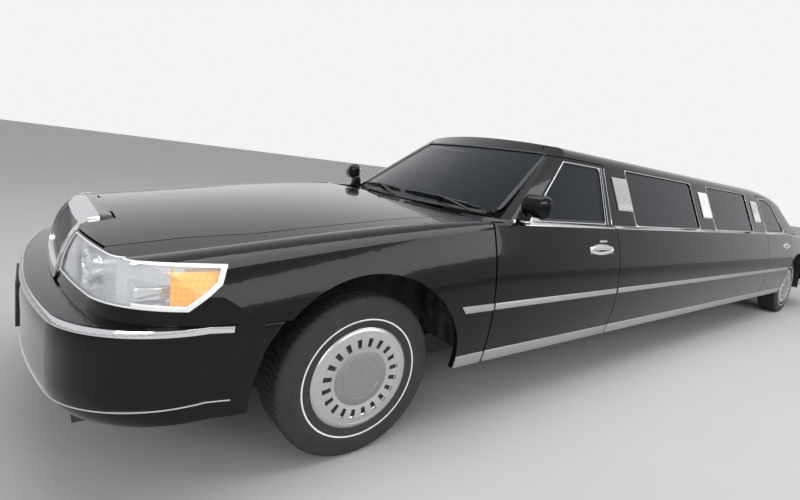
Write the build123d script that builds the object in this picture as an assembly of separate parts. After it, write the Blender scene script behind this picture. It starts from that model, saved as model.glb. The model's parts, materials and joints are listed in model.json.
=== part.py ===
"""Stretch limousine, built up from separate body panels, running gear and fittings.

Stations run along the car from the front axle, positive to the rear, in millimetres.
X is the car's left, Y points to its rear and Z is up. The origin is on the ground, mid-length.
"""

import os
from math import hypot

from build123d import *

# Overall size
WHEELBASE = 6038
FRONT_OVERHANG = 1025
REAR_OVERHANG = 1454
BODY_HALF_WIDTH = 993
ROOF_HEIGHT = 1480

# Wheels and steering
TYRE_RADIUS = 345
TYRE_WIDTH = 225
RIM_RADIUS = 205
TRACK_HALF = 805
KINGPIN_X = 735
SPINDLE_RADIUS = 30
DIFFERENTIAL_RADIUS = 140
RUNNING_CLEARANCE = 0.05
FRONT_ARCH_RADIUS = 458
REAR_ARCH_RADIUS = 440

# Side wall, in the car's cross-section
SILL_BOTTOM = 316
SILL_HALF_WIDTH = 950
WAIST_HEIGHT = 640
SHOULDER_X = 920
SHOULDER_Z = 1000
GLASS_FOOT_X = 886
BELT_HEIGHT = 1016
GLASS_TOP_X = 712
GLASS_TOP_Z = 1390
RAIL_X = 672
RAIL_Z = 1436
ROOF_EDGE_X = 600
ROOF_EDGE_Z = 1458
DOOR_WALL = 60
PILLAR_WALL = 36
SKIN = 30
GLASS = 5
GLASS_INSET = 10

# Shut lines and the small gap at which a piece rests on its seat
SEAM = 6
SEAT_GAP = 0.3
BUMPER_TOP = 652
FRONT_SEAM = 639
B_SEAM = 1752
C_SEAM = 4826
REAR_SEAM = 5690
REAR_SLOPE = 4700
WALL_END = 5740

# Bonnet, grille, lamps and boot
BONNET_LIP = 842
GRILLE_HALF_WIDTH = 330
GRILLE_TOP = 893
LAMP_FOOT = 700
LAMP_REAR = -530
LID_FRONT = 6390
LID_HALF_WIDTH = 770
LID_FOOT = 700

LENS = 8
SCREEN_FRAME = 45
GRILLE_RIM = 30
GRILLE_BARS = 19
LAMP_INNER = 568
TAIL_LAMP_FOOT = 742
TAIL_LAMP_HEAD = 902
BUMPER_WALL = 55

# Underbody
FLOOR_HALF = 880
TUNNEL_HALF = 100
TUNNEL_TOP = 400
KICK_TOP = 520
ENGINE_BOTTOM = 250
KNUCKLE_FOOT = 232
FLOOR_TOP = 330
FLOOR_BOTTOM = 300
FRAME_TOP = 285
FRAME_BOTTOM = 165
FRAME_X = 430
PLATE_SPACING_X = 178
PLATE_SPACING_Z = 121
PLATE_HOLE_RADIUS = 3
PLATE_HEIGHT = 500
REAR_PLATE_HEIGHT = 810
PLATE_POCKET_HALF = 165
PLATE_POCKET_RISE = 75
PLATE_POCKET_DEPTH = 130
PLATE_POCKET_WALL = 20
RAIL_HALF_WIDTH = 35
APRON_WALL = 12
SHELF_TOP = 955
SHELF_WALL = 22
DECK_HALF = 800
TAIL_DECK_HALF = 700
TAIL_WALL_HALF = 640

LENGTH = FRONT_OVERHANG + WHEELBASE + REAR_OVERHANG
NOSE = -FRONT_OVERHANG
TAIL = WHEELBASE + REAR_OVERHANG
SIDES = (("left", 1), ("right", -1))


def at(station):
    """Y of a station measured from the front axle."""
    return station + FRONT_OVERHANG - LENGTH / 2


def front_view(station):
    """Places (x, z) at one station."""
    return lambda x, z: (x, at(station), z)


def side_view(x):
    """Places (station, z) in an upright plane along the car."""
    return lambda station, z: (x, at(station), z)


def plan_view(z):
    """Places (x, station) at one height."""
    return lambda x, station: (x, at(station), z)


def outline(place, start, *moves):
    """A closed face. A move of two numbers is a straight run, one of four an arc through a point."""
    edges = []
    here = start
    for move in moves:
        end = tuple(move[-2:])
        if len(move) == 4:
            edges.append(Edge.make_three_point_arc(place(*here), place(*move[:2]), place(*end)))
        else:
            edges.append(Edge.make_line(place(*here), place(*end)))
        here = end
    if here != start:
        edges.append(Edge.make_line(place(*here), place(*start)))
    return Face(Wire(edges))


def whole(place, start, *moves):
    """A face symmetric about the car's centre line, from the moves of its left half."""
    points = [start] + [tuple(move[-2:]) for move in moves]
    back = []
    for move, end in zip(reversed(moves), reversed(points[:-1])):
        mirrored_end = (-end[0], end[1])
        back.append((-move[0], move[1]) + mirrored_end if len(move) == 4 else mirrored_end)
    if points[-1][0] != 0:
        back.insert(0, (-points[-1][0], points[-1][1]))
    return outline(place, start, *moves, *back)


def grown(points, by):
    """The corners of a polygon moved out by a distance square to its edges."""
    count = len(points)
    area = sum(a[0] * b[1] - b[0] * a[1] for a, b in zip(points, points[1:] + points[:1]))
    turn = 1 if area > 0 else -1
    moved = []
    for index in range(count):
        before, here, after = points[index - 1], points[index], points[(index + 1) % count]
        first = hypot(here[0] - before[0], here[1] - before[1])
        second = hypot(after[0] - here[0], after[1] - here[1])
        d1 = ((here[0] - before[0]) / first, (here[1] - before[1]) / first)
        d2 = ((after[0] - here[0]) / second, (after[1] - here[1]) / second)
        normal1 = (d1[1] * turn, -d1[0] * turn)
        normal2 = (d2[1] * turn, -d2[0] * turn)
        share = by / (1 + normal1[0] * normal2[0] + normal1[1] * normal2[1])
        moved.append((here[0] + share * (normal1[0] + normal2[0]), here[1] + share * (normal1[1] + normal2[1])))
    return moved


def box(x0, x1, s0, s1, z0, z1):
    """A block between two widths, two stations and two heights."""
    size = (x1 - x0, s1 - s0, z1 - z0)
    middle = ((x0 + x1) / 2, at((s0 + s1) / 2), (z0 + z1) / 2)
    return Pos(*middle) * Box(*size)


def along(face, length):
    """The face pushed towards the rear."""
    return Solid.extrude(face, Vector(0, length, 0))


def across(points, x0, x1, corner=0):
    """A side-view polygon pushed from one width to another, its corners rounded."""
    face = outline(side_view(x0), points[0], *points[1:])
    if corner:
        face = face.fillet_2d(corner, face.vertices())
    return Solid.extrude(face, Vector(x1 - x0, 0, 0))


def upward(points, z0, z1):
    """A plan-view polygon pushed up."""
    return Solid.extrude(outline(plan_view(z0), points[0], *points[1:]), Vector(0, 0, z1 - z0))


def rod(x0, x1, station, z, radius):
    """A round bar across the car."""
    return Pos((x0 + x1) / 2, at(station), z) * Rot(0, 90, 0) * Cylinder(radius, abs(x1 - x0))


def mirrored(shape):
    """The same piece for the car's other side."""
    return mirror(shape, about=Plane.YZ)


def for_side(shape, sign):
    return shape if sign > 0 else mirrored(shape)


def one(shape):
    """The largest solid of a result, without slivers."""
    return max(shape.solids(), key=lambda solid: solid.volume)


# Lower body, as solids of their full width that can be drawn in by a wall thickness
# Columns: station, widest, shoulder x, shoulder z, crown x, crown z, centre z
FRONT_SECTIONS = (
    (-1120, 955, 905, 745, 760, 800, 842),
    (-560, 975, 912, 822, 780, 868, 925),
    (0, 990, 922, 905, 800, 948, 985),
    (FRONT_SEAM, BODY_HALF_WIDTH, SHOULDER_X + 6, SHOULDER_Z - 22, 860, 1008, 1022),
)
REAR_SECTIONS = (
    (WALL_END, BODY_HALF_WIDTH, SHOULDER_X + 6, SHOULDER_Z - 22, 860, 1010, 1018),
    (6400, 990, 918, 940, 850, 984, 1016),
    (7000, 980, 908, 895, 840, 945, 990),
    (7560, 965, 895, 850, 820, 905, 950),
)


def body_section(row, inset):
    station, widest, shoulder_x, shoulder_z, crown_x, crown_z, centre_z = row
    foot_x = widest - BODY_HALF_WIDTH + SILL_HALF_WIDTH - inset
    low = SILL_BOTTOM - 60
    middle_x = (shoulder_x + crown_x) / 2 + 12 - inset
    middle_z = (shoulder_z + crown_z) / 2 + 12 - inset
    return whole(
        front_view(station),
        (0, low),
        (foot_x - 25, low),
        (foot_x, SILL_BOTTOM),
        (widest - inset, WAIST_HEIGHT, shoulder_x - inset, shoulder_z - inset),
        (middle_x, middle_z, crown_x - inset, crown_z - inset),
        (crown_x / 2, (crown_z + 3 * centre_z) / 4 - inset, 0, centre_z - inset),
    )


# Columns: height, how far the nose's face lies behind the bumper's front
NOSE_SECTIONS = ((600, 78), (760, 108), (840, 142), (885, 180), (935, 265))
# Columns: height, how far the tail's face lies ahead of the bumper's rear
TAIL_SECTIONS = ((560, 62), (760, 84), (880, 112), (940, 150), (985, 230))


def nose_outline(height, back, inset):
    front = NOSE + back + inset
    return whole(
        plan_view(height),
        (0, front),
        (390, front + 16, 690, front + 62),
        (862 - inset, front + 160, 948 - inset, -585 + back / 3),
        (1030, -250),
        (1030, FRONT_SEAM + 50),
        (0, FRONT_SEAM + 50),
    )


def tail_outline(height, ahead, inset):
    rear = TAIL - ahead - inset
    return whole(
        plan_view(height),
        (0, rear),
        (420, rear - 16, 740, rear - 62),
        (885 - inset, rear - 150, 950 - inset, TAIL - 470 - ahead / 3),
        (1030, TAIL - 800),
        (1030, REAR_SEAM - 60),
        (0, REAR_SEAM - 60),
    )


def tower(rows, draw, inset):
    """The nose's or tail's plan outline, lofted up its rows and carried straight on above and below."""
    middle = Solid.make_loft([draw(z, back, inset).outer_wire() for z, back in rows])
    foot = draw(SILL_BOTTOM - 80, rows[0][1], inset)
    head = draw(rows[-1][0], rows[-1][1], inset)
    below = Solid.extrude(foot, Vector(0, 0, rows[0][0] - SILL_BOTTOM + 80))
    above = Solid.extrude(head, Vector(0, 0, 150))
    return below + middle + above


def front_body(inset=0):
    shell = Solid.make_loft([body_section(row, inset).outer_wire() for row in FRONT_SECTIONS])
    return shell & tower(NOSE_SECTIONS, nose_outline, inset)


def rear_body(inset=0):
    shell = Solid.make_loft([body_section(row, inset).outer_wire() for row in REAR_SECTIONS])
    return shell & tower(TAIL_SECTIONS, tail_outline, inset)


def lower_wall():
    """Left wall from sill to shoulder, constant between the front seam and the rear slope."""
    inner_sill = SILL_HALF_WIDTH - DOOR_WALL
    face = outline(
        front_view(FRONT_SEAM),
        (inner_sill, SILL_BOTTOM),
        (SILL_HALF_WIDTH, SILL_BOTTOM),
        (BODY_HALF_WIDTH, WAIST_HEIGHT, SHOULDER_X, SHOULDER_Z),
        (GLASS_FOOT_X, BELT_HEIGHT),
        (GLASS_FOOT_X - PILLAR_WALL, BELT_HEIGHT),
        (BODY_HALF_WIDTH - DOOR_WALL, WAIST_HEIGHT),
        (inner_sill, SILL_BOTTOM + 60),
    )
    return along(face, WALL_END - FRONT_SEAM)


# Greenhouse sections behind the constant part
# Columns: station, glass top x and z, rail x and z, roof edge x and z, centre z
GREENHOUSE_SECTIONS = (
    (REAR_SLOPE, GLASS_TOP_X, GLASS_TOP_Z, RAIL_X, RAIL_Z, ROOF_EDGE_X, ROOF_EDGE_Z, ROOF_HEIGHT),
    (5250, 718, 1366, 678, 1414, 604, 1440, 1468),
    (5750, 742, 1290, 700, 1342, 622, 1378, 1420),
    (6400, 792, 1110, 752, 1150, 670, 1180, 1230),
)


def greenhouse_section(row, inset):
    station, top_x, top_z, rail_x, rail_z, edge_x, edge_z, centre_z = row
    return whole(
        front_view(station),
        (0, BELT_HEIGHT - 30),
        (GLASS_FOOT_X - inset, BELT_HEIGHT - 30),
        (GLASS_FOOT_X - inset, BELT_HEIGHT),
        (top_x - inset, top_z - inset / 2),
        (rail_x - 0.8 * inset, rail_z - 0.7 * inset, edge_x, edge_z - inset),
        (edge_x / 2, (edge_z + 3 * centre_z) / 4 - inset, 0, centre_z - inset),
    )


# Windscreen and rear window lie on round walls whose axis runs up the slope
# Columns: foot station, foot height, run and rise of the slope
SCREEN_SLOPES = {True: (668, 1033, 532, 368), False: (6345, 1010, -640, 420)}
SCREEN_RADIUS = 2670


def slanted(front, near, far):
    """The layer between two depths behind the windscreen's or the rear window's face."""
    foot, foot_z, run, rise = SCREEN_SLOPES[front]
    up = Vector(0, run, rise).normalized()
    depth = Vector(0, rise, -run).normalized() * (1 if front else -1)
    half = 1000
    sag = SCREEN_RADIUS - (SCREEN_RADIUS ** 2 - half ** 2) ** 0.5
    start = Vector(0, at(foot), foot_z) - up * 250
    place = lambda x, deep: start + Vector(x, 0, 0) + depth * deep
    face = outline(
        place,
        (-half, near + sag),
        (0, near, half, near + sag),
        (half, far + sag),
        (0, far, -half, far + sag),
    )
    return Solid.extrude(face, up * 1200)


def greenhouse(inset=0):
    first = greenhouse_section((600,) + GREENHOUSE_SECTIONS[0][1:], inset)
    front = along(first, REAR_SLOPE - 600)
    rear = Solid.make_loft([greenhouse_section(row, inset).outer_wire() for row in GREENHOUSE_SECTIONS])
    return (front + rear) - slanted(True, -900, 0) - slanted(False, -900, 0)


def screen_opening(front, margin=0):
    """The clear opening of windscreen or rear window, seen along the car."""
    if front:
        corners = [(-722, 1022), (722, 1022), (600, 1412), (-600, 1412)]
        station = 500
    else:
        corners = [(-700, 1035), (700, 1035), (600, 1375), (-600, 1375)]
        station = 5400
    corners = grown(corners, margin)
    face = outline(front_view(station), corners[0], *corners[1:])
    return along(face.fillet_2d(40, face.vertices()), 1100)


def glass_strip(depth, thickness):
    """Left side glass plane of the constant greenhouse, as a long thin wall."""
    lean = (GLASS_FOOT_X - GLASS_TOP_X) / (GLASS_TOP_Z - BELT_HEIGHT)
    low, high = BELT_HEIGHT - 12, GLASS_TOP_Z + 6
    x_low = GLASS_FOOT_X + 12 * lean - depth
    x_high = GLASS_TOP_X - 6 * lean - depth
    face = outline(
        front_view(FRONT_SEAM),
        (x_low, low),
        (x_high, high),
        (x_high - thickness, high),
        (x_low - thickness, low),
    )
    return along(face, 5200)


# Door outlines on the wall's face. Columns: station, height, wall's X there, lean of the edge inwards
FRONT_DOOR = (
    (642, 300, 950, 0),
    (642, 1010, 905, 0),
    (858, 1013, 905, 0),
    (1318, 1396, 710, 0),
    (1802, 1396, 710, 0.34),
    (B_SEAM, 1005, 905, 0.22),
    (B_SEAM, 300, 950, 0.18),
)
REAR_DOOR = (
    (C_SEAM, 300, 950, 0),
    (C_SEAM, 1005, 905, 0),
    (4862, 1396, 710, 0),
    (5205, 1396, 712, 0.95),
    (5430, 1338, 732, 0.66),
    (REAR_SEAM, 1012, 890, 0.28),
    (5668, 820, 972, 0.24),
    (5572, 640, 993, 0.22),
    (5548, 300, 950, 0.2),
)
# Window corners as station and height
FRONT_WINDOW = [(952, 1026), (1352, 1366), (1735, 1366), (1672, 1026)]
REAR_WINDOW = [(4905, 1026), (4920, 1364), (5165, 1364), (5350, 1316), (5570, 1026)]
# Columns: front, rear of each fixed window
SIDE_WINDOWS = ((2065, 3140), (3482, 4485))
WINDOW_FOOT = 1022
WINDOW_HEAD = 1384
# Front edge of each light panel
LIGHT_PANELS = (1866, 3262, 4605)
PANEL_WIDTH = 190
PANEL_FOOT = 1120
PANEL_HEAD = 1320
PANEL_RIBS = 5
DOOR_REACH = 1020
DOOR_DEPTH = 560


def door_region(corners, by):
    """What a door takes out of the wall. Its rear edge leans so that it swings out freely."""
    edge = grown([(station, z) for station, z, x, lean in corners], by)
    outer = []
    inner = []
    for (station, z), (_, _, x, lean) in zip(edge, corners):
        outer.append((station + lean * (DOOR_REACH - x), z))
        inner.append((station - lean * (x - DOOR_DEPTH), z))
    faces = [
        outline(side_view(DOOR_REACH), outer[0], *outer[1:]).outer_wire(),
        outline(side_view(DOOR_DEPTH), inner[0], *inner[1:]).outer_wire(),
    ]
    return Solid.make_loft(faces, ruled=True)


DOORS = (("front", FRONT_DOOR, FRONT_WINDOW), ("rear", REAR_DOOR, REAR_WINDOW))


def window_hole(points, margin=0, corner=28):
    return across(grown(points, margin), 560, 960, corner)


def arch(station, radius, x0, x1):
    return rod(x0, x1, station, TYRE_RADIUS - 5, radius)


parts = {}


def build_panels():
    """Walls, doors, roof, wings, bonnet, boot lid and glass."""
    front = front_body()
    front_inner = front_body(SKIN)
    rear = rear_body()
    rear_inner = rear_body(SKIN)
    house = greenhouse()
    house_inner = greenhouse(PILLAR_WALL)

    left = box(0, 1100, -1200, 8000, 0, 2000)
    hollow = house_inner - slanted(True, -400, SCREEN_FRAME) - slanted(False, -400, SCREEN_FRAME)
    house_shell = house - hollow
    house_shell = house_shell - screen_opening(True) - screen_opening(False)
    roof_band = box(-ROOF_EDGE_X, ROOF_EDGE_X, 600, 6500, 1100, 1600)
    parts["roof"] = one(house_shell & roof_band & box(-ROOF_EDGE_X, ROOF_EDGE_X, 1150, 5850, 1330, 1600))

    # Left wall with its quarter, then the openings
    wall = lower_wall()
    upper = (house_shell - roof_band) & left
    quarter = (rear - rear_inner) & box(0, 1100, WALL_END, 8000, SILL_BOTTOM, 1100)
    wall = wall + upper
    side = wall
    quarter = quarter - box(0, LID_HALF_WIDTH + SEAM, LID_FRONT, 8000, LID_FOOT - SEAM, 1200)
    quarter = quarter - box(0, 1100, WHEELBASE, 8000, 0, BUMPER_TOP + SEAT_GAP)
    quarter = quarter - box(LAMP_INNER, 1100, TAIL - 420, 8000, TAIL_LAMP_FOOT, TAIL_LAMP_HEAD)
    side = side + quarter
    side = side - arch(WHEELBASE, REAR_ARCH_RADIUS, 500, 1100)
    doors = {}
    for name, corners, window in DOORS:
        door = wall & door_region(corners, -SEAM / 2)
        door = door - window_hole(window) - arch(WHEELBASE, REAR_ARCH_RADIUS, 500, 1100)
        doors[name] = door
        side = side - door_region(corners, SEAM / 2)
    for start, end in SIDE_WINDOWS:
        frame = [(start, WINDOW_FOOT), (start, WINDOW_HEAD), (end, WINDOW_HEAD), (end, WINDOW_FOOT)]
        side = side - window_hole(frame)
    for label, sign in SIDES:
        parts["side_" + label] = for_side(one(side), sign)
        for name, door in doors.items():
            parts[name + "_door_" + label] = for_side(one(door), sign)

    # Glass, a little smaller than its opening
    strip = glass_strip(GLASS_INSET, GLASS)
    for name, corners, window in DOORS:
        pane = strip & window_hole(window, -0.3)
        for label, sign in SIDES:
            parts[name + "_glass_" + label] = for_side(one(pane), sign)
    panes = []
    for start, end in SIDE_WINDOWS:
        frame = [(start, WINDOW_FOOT), (start, WINDOW_HEAD), (end, WINDOW_HEAD), (end, WINDOW_FOOT)]
        pane = one(strip & window_hole(frame, -0.3))
        panes += [pane, mirrored(pane)]
    parts["side_windows"] = Compound(panes)
    for name, is_front in (("windscreen", True), ("rear_window", False)):
        layer = slanted(is_front, GLASS_INSET, GLASS_INSET + GLASS)
        parts[name] = one(layer & screen_opening(is_front, -0.3))

    # Ribbed light panels on the pillars
    panels = []
    backing = glass_strip(-3, 2.7)
    ribbing = glass_strip(-9, 8.7)
    for start in LIGHT_PANELS:
        plate = backing & across(
            [(start, PANEL_FOOT), (start, PANEL_HEAD), (start + PANEL_WIDTH, PANEL_HEAD),
             (start + PANEL_WIDTH, PANEL_FOOT)], 560, 1000)
        pitch = PANEL_WIDTH / PANEL_RIBS
        for index in range(PANEL_RIBS):
            near = start + index * pitch + 5
            far = near + pitch - 10
            plate = plate + (ribbing & across(
                [(near, PANEL_FOOT), (near, PANEL_HEAD), (far, PANEL_HEAD), (far, PANEL_FOOT)], 560, 1000))
        panels += [one(plate), mirrored(one(plate))]
    parts["light_panels"] = Compound(panels)

    # Front wings, bonnet and lamps
    shell = front - front_inner
    bonnet_edge = [(0, -1200), (655, -1200), (655, -600), (700, -380), (712, 0), (712, FRONT_SEAM - SEAM),
                   (0, FRONT_SEAM - SEAM)]
    half_bonnet = shell & upward(bonnet_edge, BONNET_LIP + SEAM, 1200)
    half_bonnet = half_bonnet - box(0, GRILLE_HALF_WIDTH + SEAT_GAP, -1200, -760, 500, GRILLE_TOP + SEAT_GAP)
    bonnet_hole = upward(grown(bonnet_edge, SEAM), BONNET_LIP, 1200)
    parts["bonnet"] = one(half_bonnet + mirrored(half_bonnet))
    lamp_points = [(-1200, LAMP_FOOT), (-1200, BONNET_LIP - 4), (LAMP_REAR, BONNET_LIP - 4),
                   (LAMP_REAR - 20, 780), (LAMP_REAR - 110, LAMP_FOOT)]
    lamp_hole = across(lamp_points, GRILLE_HALF_WIDTH + 14, 1100)
    lamp_space = across(grown(lamp_points, -SEAT_GAP), GRILLE_HALF_WIDTH + 14 + SEAT_GAP, 1100)
    wing = shell & box(GRILLE_HALF_WIDTH + 8, 1100, -1200, FRONT_SEAM - SEAM / 2, SILL_BOTTOM, 1200)
    wing = wing - box(0, 1100, -1200, 0, 0, BUMPER_TOP + SEAT_GAP) - bonnet_hole
    wing = wing - lamp_hole - arch(0, FRONT_ARCH_RADIUS, 400, 1100)
    behind_lens = front_body(LENS)
    lens = (front - behind_lens) & lamp_space
    back_wall = [(345, -1200), (345, -850), (700, -790), (860, -640), (880, -500), (1100, -500), (1100, -1200)]
    bowl = front_body(LENS + SEAT_GAP) & lamp_space & upward(back_wall, 600, 900)
    bowl = bowl - (across(grown(lamp_points, -7), 355, 1100) & upward(grown(back_wall, -7), 600, 900))
    for label, sign in SIDES:
        parts["wing_" + label] = for_side(one(wing), sign)
    parts["headlamp_lenses"] = Compound([one(lens), mirrored(one(lens))])
    parts["headlamp_bowls"] = Compound([one(bowl), mirrored(one(bowl))])

    # Grille on the bonnet's front: a surround and upright bars on two cross rails
    outer = [(-GRILLE_HALF_WIDTH, 662), (-GRILLE_HALF_WIDTH, GRILLE_TOP), (GRILLE_HALF_WIDTH, GRILLE_TOP),
             (GRILLE_HALF_WIDTH, 662)]
    inner = grown(outer, -GRILLE_RIM)
    outer_face = outline(front_view(-1200), outer[0], *outer[1:])
    inner_face = outline(front_view(-1200), inner[0], *inner[1:])
    ring = along(outer_face.fillet_2d(30, outer_face.vertices()), 430)
    ring = ring - along(inner_face.fillet_2d(16, inner_face.vertices()), 430)
    surround = (front_body(-8) - front_inner) & ring
    bars = []
    pitch = 2 * (GRILLE_HALF_WIDTH - GRILLE_RIM) / GRILLE_BARS
    for index in range(GRILLE_BARS):
        x = GRILLE_RIM - GRILLE_HALF_WIDTH + (index + 0.5) * pitch
        bars.append(box(x - 5, x + 5, -1200, -772, 664 + GRILLE_RIM - 4, GRILLE_TOP - GRILLE_RIM + 4))
    slats = (behind_lens - front_inner) & Compound(bars)
    rails = (front_body(20) - front_inner)
    rails = rails & (box(-310, 310, -1200, -772, 720, 732) + box(-310, 310, -1200, -772, 800, 812))
    parts["grille"] = one(surround + slats + rails)

    # Boot lid and tail lamps
    tail_shell = rear - rear_inner
    lid = tail_shell & box(0, LID_HALF_WIDTH, LID_FRONT + SEAM, 8000, LID_FOOT, 1200)
    lid = lid - box(LAMP_INNER - SEAM, 1100, TAIL - 420, 8000, TAIL_LAMP_FOOT - SEAM, TAIL_LAMP_HEAD + SEAM)
    lid = lid + mirrored(lid)
    pocket_face = TAIL - PLATE_POCKET_DEPTH
    low = REAR_PLATE_HEIGHT - PLATE_POCKET_RISE
    high = REAR_PLATE_HEIGHT + PLATE_POCKET_RISE
    wall = PLATE_POCKET_WALL
    lid = lid + (rear & box(-PLATE_POCKET_HALF - wall, PLATE_POCKET_HALF + wall, pocket_face - wall, 8000,
                            low - wall, high + wall))
    lid = lid - box(-PLATE_POCKET_HALF, PLATE_POCKET_HALF, pocket_face, 8000, low, high)
    lid = lid - plate_holes(pocket_face, REAR_PLATE_HEIGHT, 3 * wall)
    parts["boot_lid"] = one(lid)
    tail_lamp = tail_shell & box(LAMP_INNER + SEAT_GAP, 1100, TAIL - 420 + SEAT_GAP, 8000,
                                 TAIL_LAMP_FOOT + SEAT_GAP, TAIL_LAMP_HEAD - SEAT_GAP)
    parts["tail_lamps"] = Compound([one(tail_lamp), mirrored(one(tail_lamp))])

    # Inner wheelhouses under the wings, with the pads that the bonnet rests on
    seat = front_body(SKIN + SEAT_GAP)
    inner = FRAME_X + RAIL_HALF_WIDTH - 10
    apron = box(inner, inner + APRON_WALL, -840, 620, FRAME_TOP, 812)
    apron = apron + box(inner, 1000, -840, 620, 812, 812 + APRON_WALL)
    apron = apron + box(inner + APRON_WALL, 1000, 608, 620, SILL_BOTTOM + 20, 812)
    apron = apron + box(inner + APRON_WALL, 1000, -655, -643, BUMPER_TOP + 60, 812)
    apron = apron + box(inner, inner + 60, -840, -810, 812, 900) + box(600, 660, 580, 620, 824, 1100)
    apron = one((apron & seat) - arch(0, FRONT_ARCH_RADIUS, inner + APRON_WALL, 1100) - bowl_space())
    parts["aprons"] = Compound([apron, mirrored(apron)])


def bowl_space():
    """Room kept clear for the headlamps."""
    return box(0, 1100, -1200, -500, LAMP_FOOT - 1, BONNET_LIP)


def bumper(front):
    """A bumper skin that wraps to the wheel arch, with the beam that the frame carries."""
    layers = ((338, 52), (372, 16), (430, 0), (610, 0), (BUMPER_TOP, 14))
    draw = nose_outline if front else tail_outline
    shells = []
    for inset in (0, BUMPER_WALL):
        shells.append(Solid.make_loft([draw(z, back, inset).outer_wire() for z, back in layers]))
    skin = shells[0] - shells[1]
    if front:
        skin = skin & box(-965, 965, NOSE - 50, -420, 300, 700)
        skin = skin - arch(0, FRONT_ARCH_RADIUS, -1100, 1100)
        beam = box(-600, 600, NOSE + BUMPER_WALL - 5, NOSE + 130, 400, 520)
        return one(skin + beam - plate_holes(NOSE, PLATE_HEIGHT, 80))
    skin = skin & box(-965, 965, WHEELBASE + 400, TAIL + 50, 300, 700)
    skin = skin - arch(WHEELBASE, REAR_ARCH_RADIUS, -1100, 1100)
    beam = box(-600, 600, TAIL - 150, TAIL - BUMPER_WALL + 5, 400, 520)
    return one(skin + beam)


def plate_holes(station, z, depth):
    """Four holes for a number plate, on a rectangle."""
    holes = []
    for x in (-PLATE_SPACING_X / 2, PLATE_SPACING_X / 2):
        for rise in (-PLATE_SPACING_Z / 2, PLATE_SPACING_Z / 2):
            hole = Pos(x, at(station), z + rise) * Rot(90, 0, 0) * Cylinder(PLATE_HOLE_RADIUS, depth)
            holes.append(hole)
    return Compound(holes)


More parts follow.
